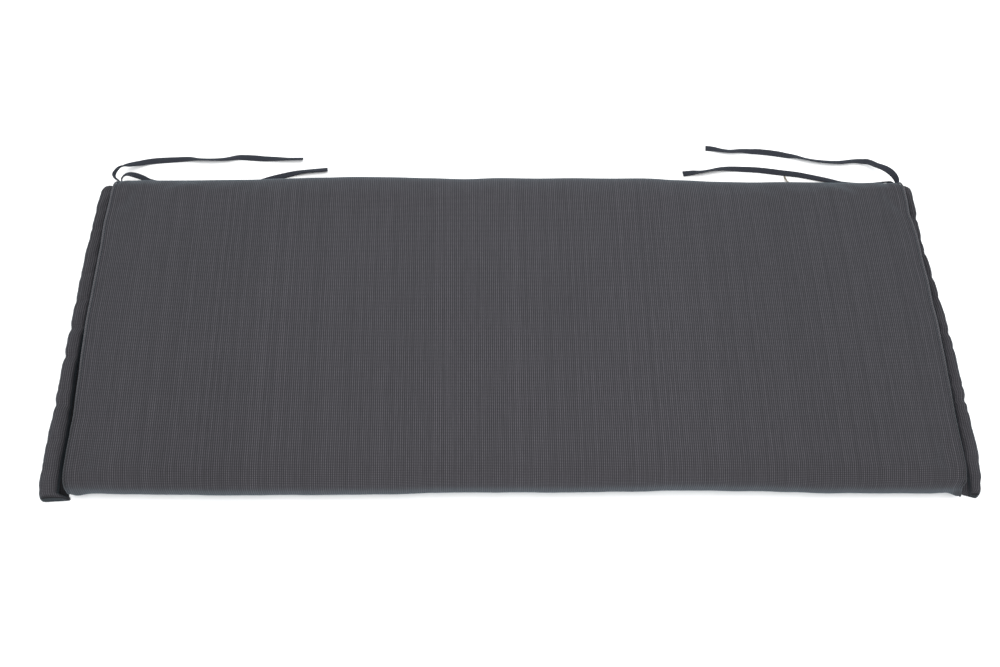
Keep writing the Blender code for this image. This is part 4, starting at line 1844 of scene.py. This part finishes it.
@dataclass(frozen=True)
class Camera:
    """The photograph's camera, as fitted to the pad's corners and seams."""

    focal_pixels: float = 1237.56
    frame_pixels: float = 1000.0
    sensor: float = 36.0
    pitch: float = 1.05445
    yaw: float = 0.0658
    roll: float = 0.05703
    place: tuple[float, float, float] = (-0.07974, -0.88211, 1.56272)
    clip: Span = (0.05, 100.0)

    def build(self) -> None:
        """Makes the camera and sets it as the scene's."""
        data = bpy.data.cameras.new("camera")
        data.sensor_width = self.sensor
        data.sensor_fit = "HORIZONTAL"
        data.lens = self.focal_pixels / self.frame_pixels * self.sensor
        data.clip_start, data.clip_end = self.clip
        obj = link_object(bpy.data.objects.new("camera", data))
        turn = Matrix.Rotation(-self.yaw, 4, "Z") @ Matrix.Rotation(math.pi / 2 - self.pitch, 4, "X")
        obj.matrix_world = Matrix.Translation(self.place) @ turn @ Matrix.Rotation(self.roll, 4, "Z")
        bpy.context.scene.camera = obj


@dataclass(frozen=True)
class Softbox:
    """A large soft studio light aimed at the cushion."""

    name: str
    place: tuple[float, float, float]
    size: Span
    power: float
    color: Color = (1.0, 1.0, 1.0)
    target: tuple[float, float, float] = (0.0, 0.0, 0.0)

    def build(self) -> None:
        """Makes the light."""
        data = bpy.data.lights.new(self.name, "AREA")
        data.shape = "RECTANGLE"
        data.size, data.size_y = self.size
        data.energy = self.power
        data.color = self.color
        obj = link_object(bpy.data.objects.new(self.name, data))
        obj.location = self.place
        aim = Vector(self.target) - Vector(self.place)
        obj.rotation_euler = aim.to_track_quat("-Z", "Y").to_euler()


@dataclass
class Studio:
    """White floor, even white surroundings and soft lights."""

    floor_size: float = 14.0
    floor_color: Color = (0.93, 0.93, 0.93)
    floor_unevenness: float = 0.01
    surroundings: float = 1.2
    boxes: tuple[Softbox, ...] = (
        Softbox("overhead softbox", (0.0, 0.1, 3.0), (4.0, 3.0), 56.0),
        Softbox("front softbox", (0.2, -2.9, 2.4), (3.4, 1.6), 59.0, (0.90, 0.96, 1.0)),
        Softbox("back softbox", (0.3, 3.2, 1.3), (3.4, 1.2), 34.0, (0.88, 0.95, 1.0)),
    )

    def floor_material(self) -> bpy.types.Material:
        """Matt white paper, a little uneven."""
        made, graph, shader = new_material("white paper", self.floor_color)
        where = graph.add("ShaderNodeTexCoord").outputs["Object"]
        grain = graph.out("ShaderNodeTexNoise", {"Vector": where, "Scale": 3.0})
        darker = tuple((1.0 - self.floor_unevenness) * value for value in self.floor_color)
        color = graph.mix(grain, darker, self.floor_color)
        graph.feed(shader, {"Base Color": color, "Roughness": 0.9, "Specular IOR Level": 0.1})
        return made

    def build(self) -> None:
        """Makes the floor, the world and the lights."""
        half = self.floor_size / 2
        corners = np.array([(-half, -half, 0.0), (half, -half, 0.0), (half, half, 0.0), (-half, half, 0.0)])
        floor = mesh_object("floor", corners, [(0, 1, 2, 3)], corners[:, :2])
        floor.data.materials.append(self.floor_material())
        world = bpy.data.worlds.new("white surroundings")
        world.use_nodes = True
        background = world.node_tree.nodes["Background"]
        background.inputs["Color"].default_value = (1.0, 1.0, 1.0, 1.0)
        background.inputs["Strength"].default_value = self.surroundings
        bpy.context.scene.world = world
        for box in self.boxes:
            box.build()
        bpy.context.scene.view_settings.view_transform = "Standard"


def main() -> None:
    """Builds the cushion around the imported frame."""
    logging.basicConfig(level=logging.INFO, format="%(name)s %(message)s", stream=sys.stdout)
    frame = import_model()
    LOG.info("frame with %d nodes", len(frame["nodes"]))

    Camera().build()
    shop = Workshop()
    for route in ("tie_left_long", "tie_left_low", "tie_right_long", "tie_right_low"):
        Band(route).build(shop)
    Band("back_tab", Slot.TAB, width=0.003, thickness=0.0012, stations=30).build(shop)
    pad = Pad()
    pad.build(shop)
    for side in Side:
        SideFlap(side, pad.shape).build(shop)
    Studio().build()


if __name__ == "__main__":
    main()
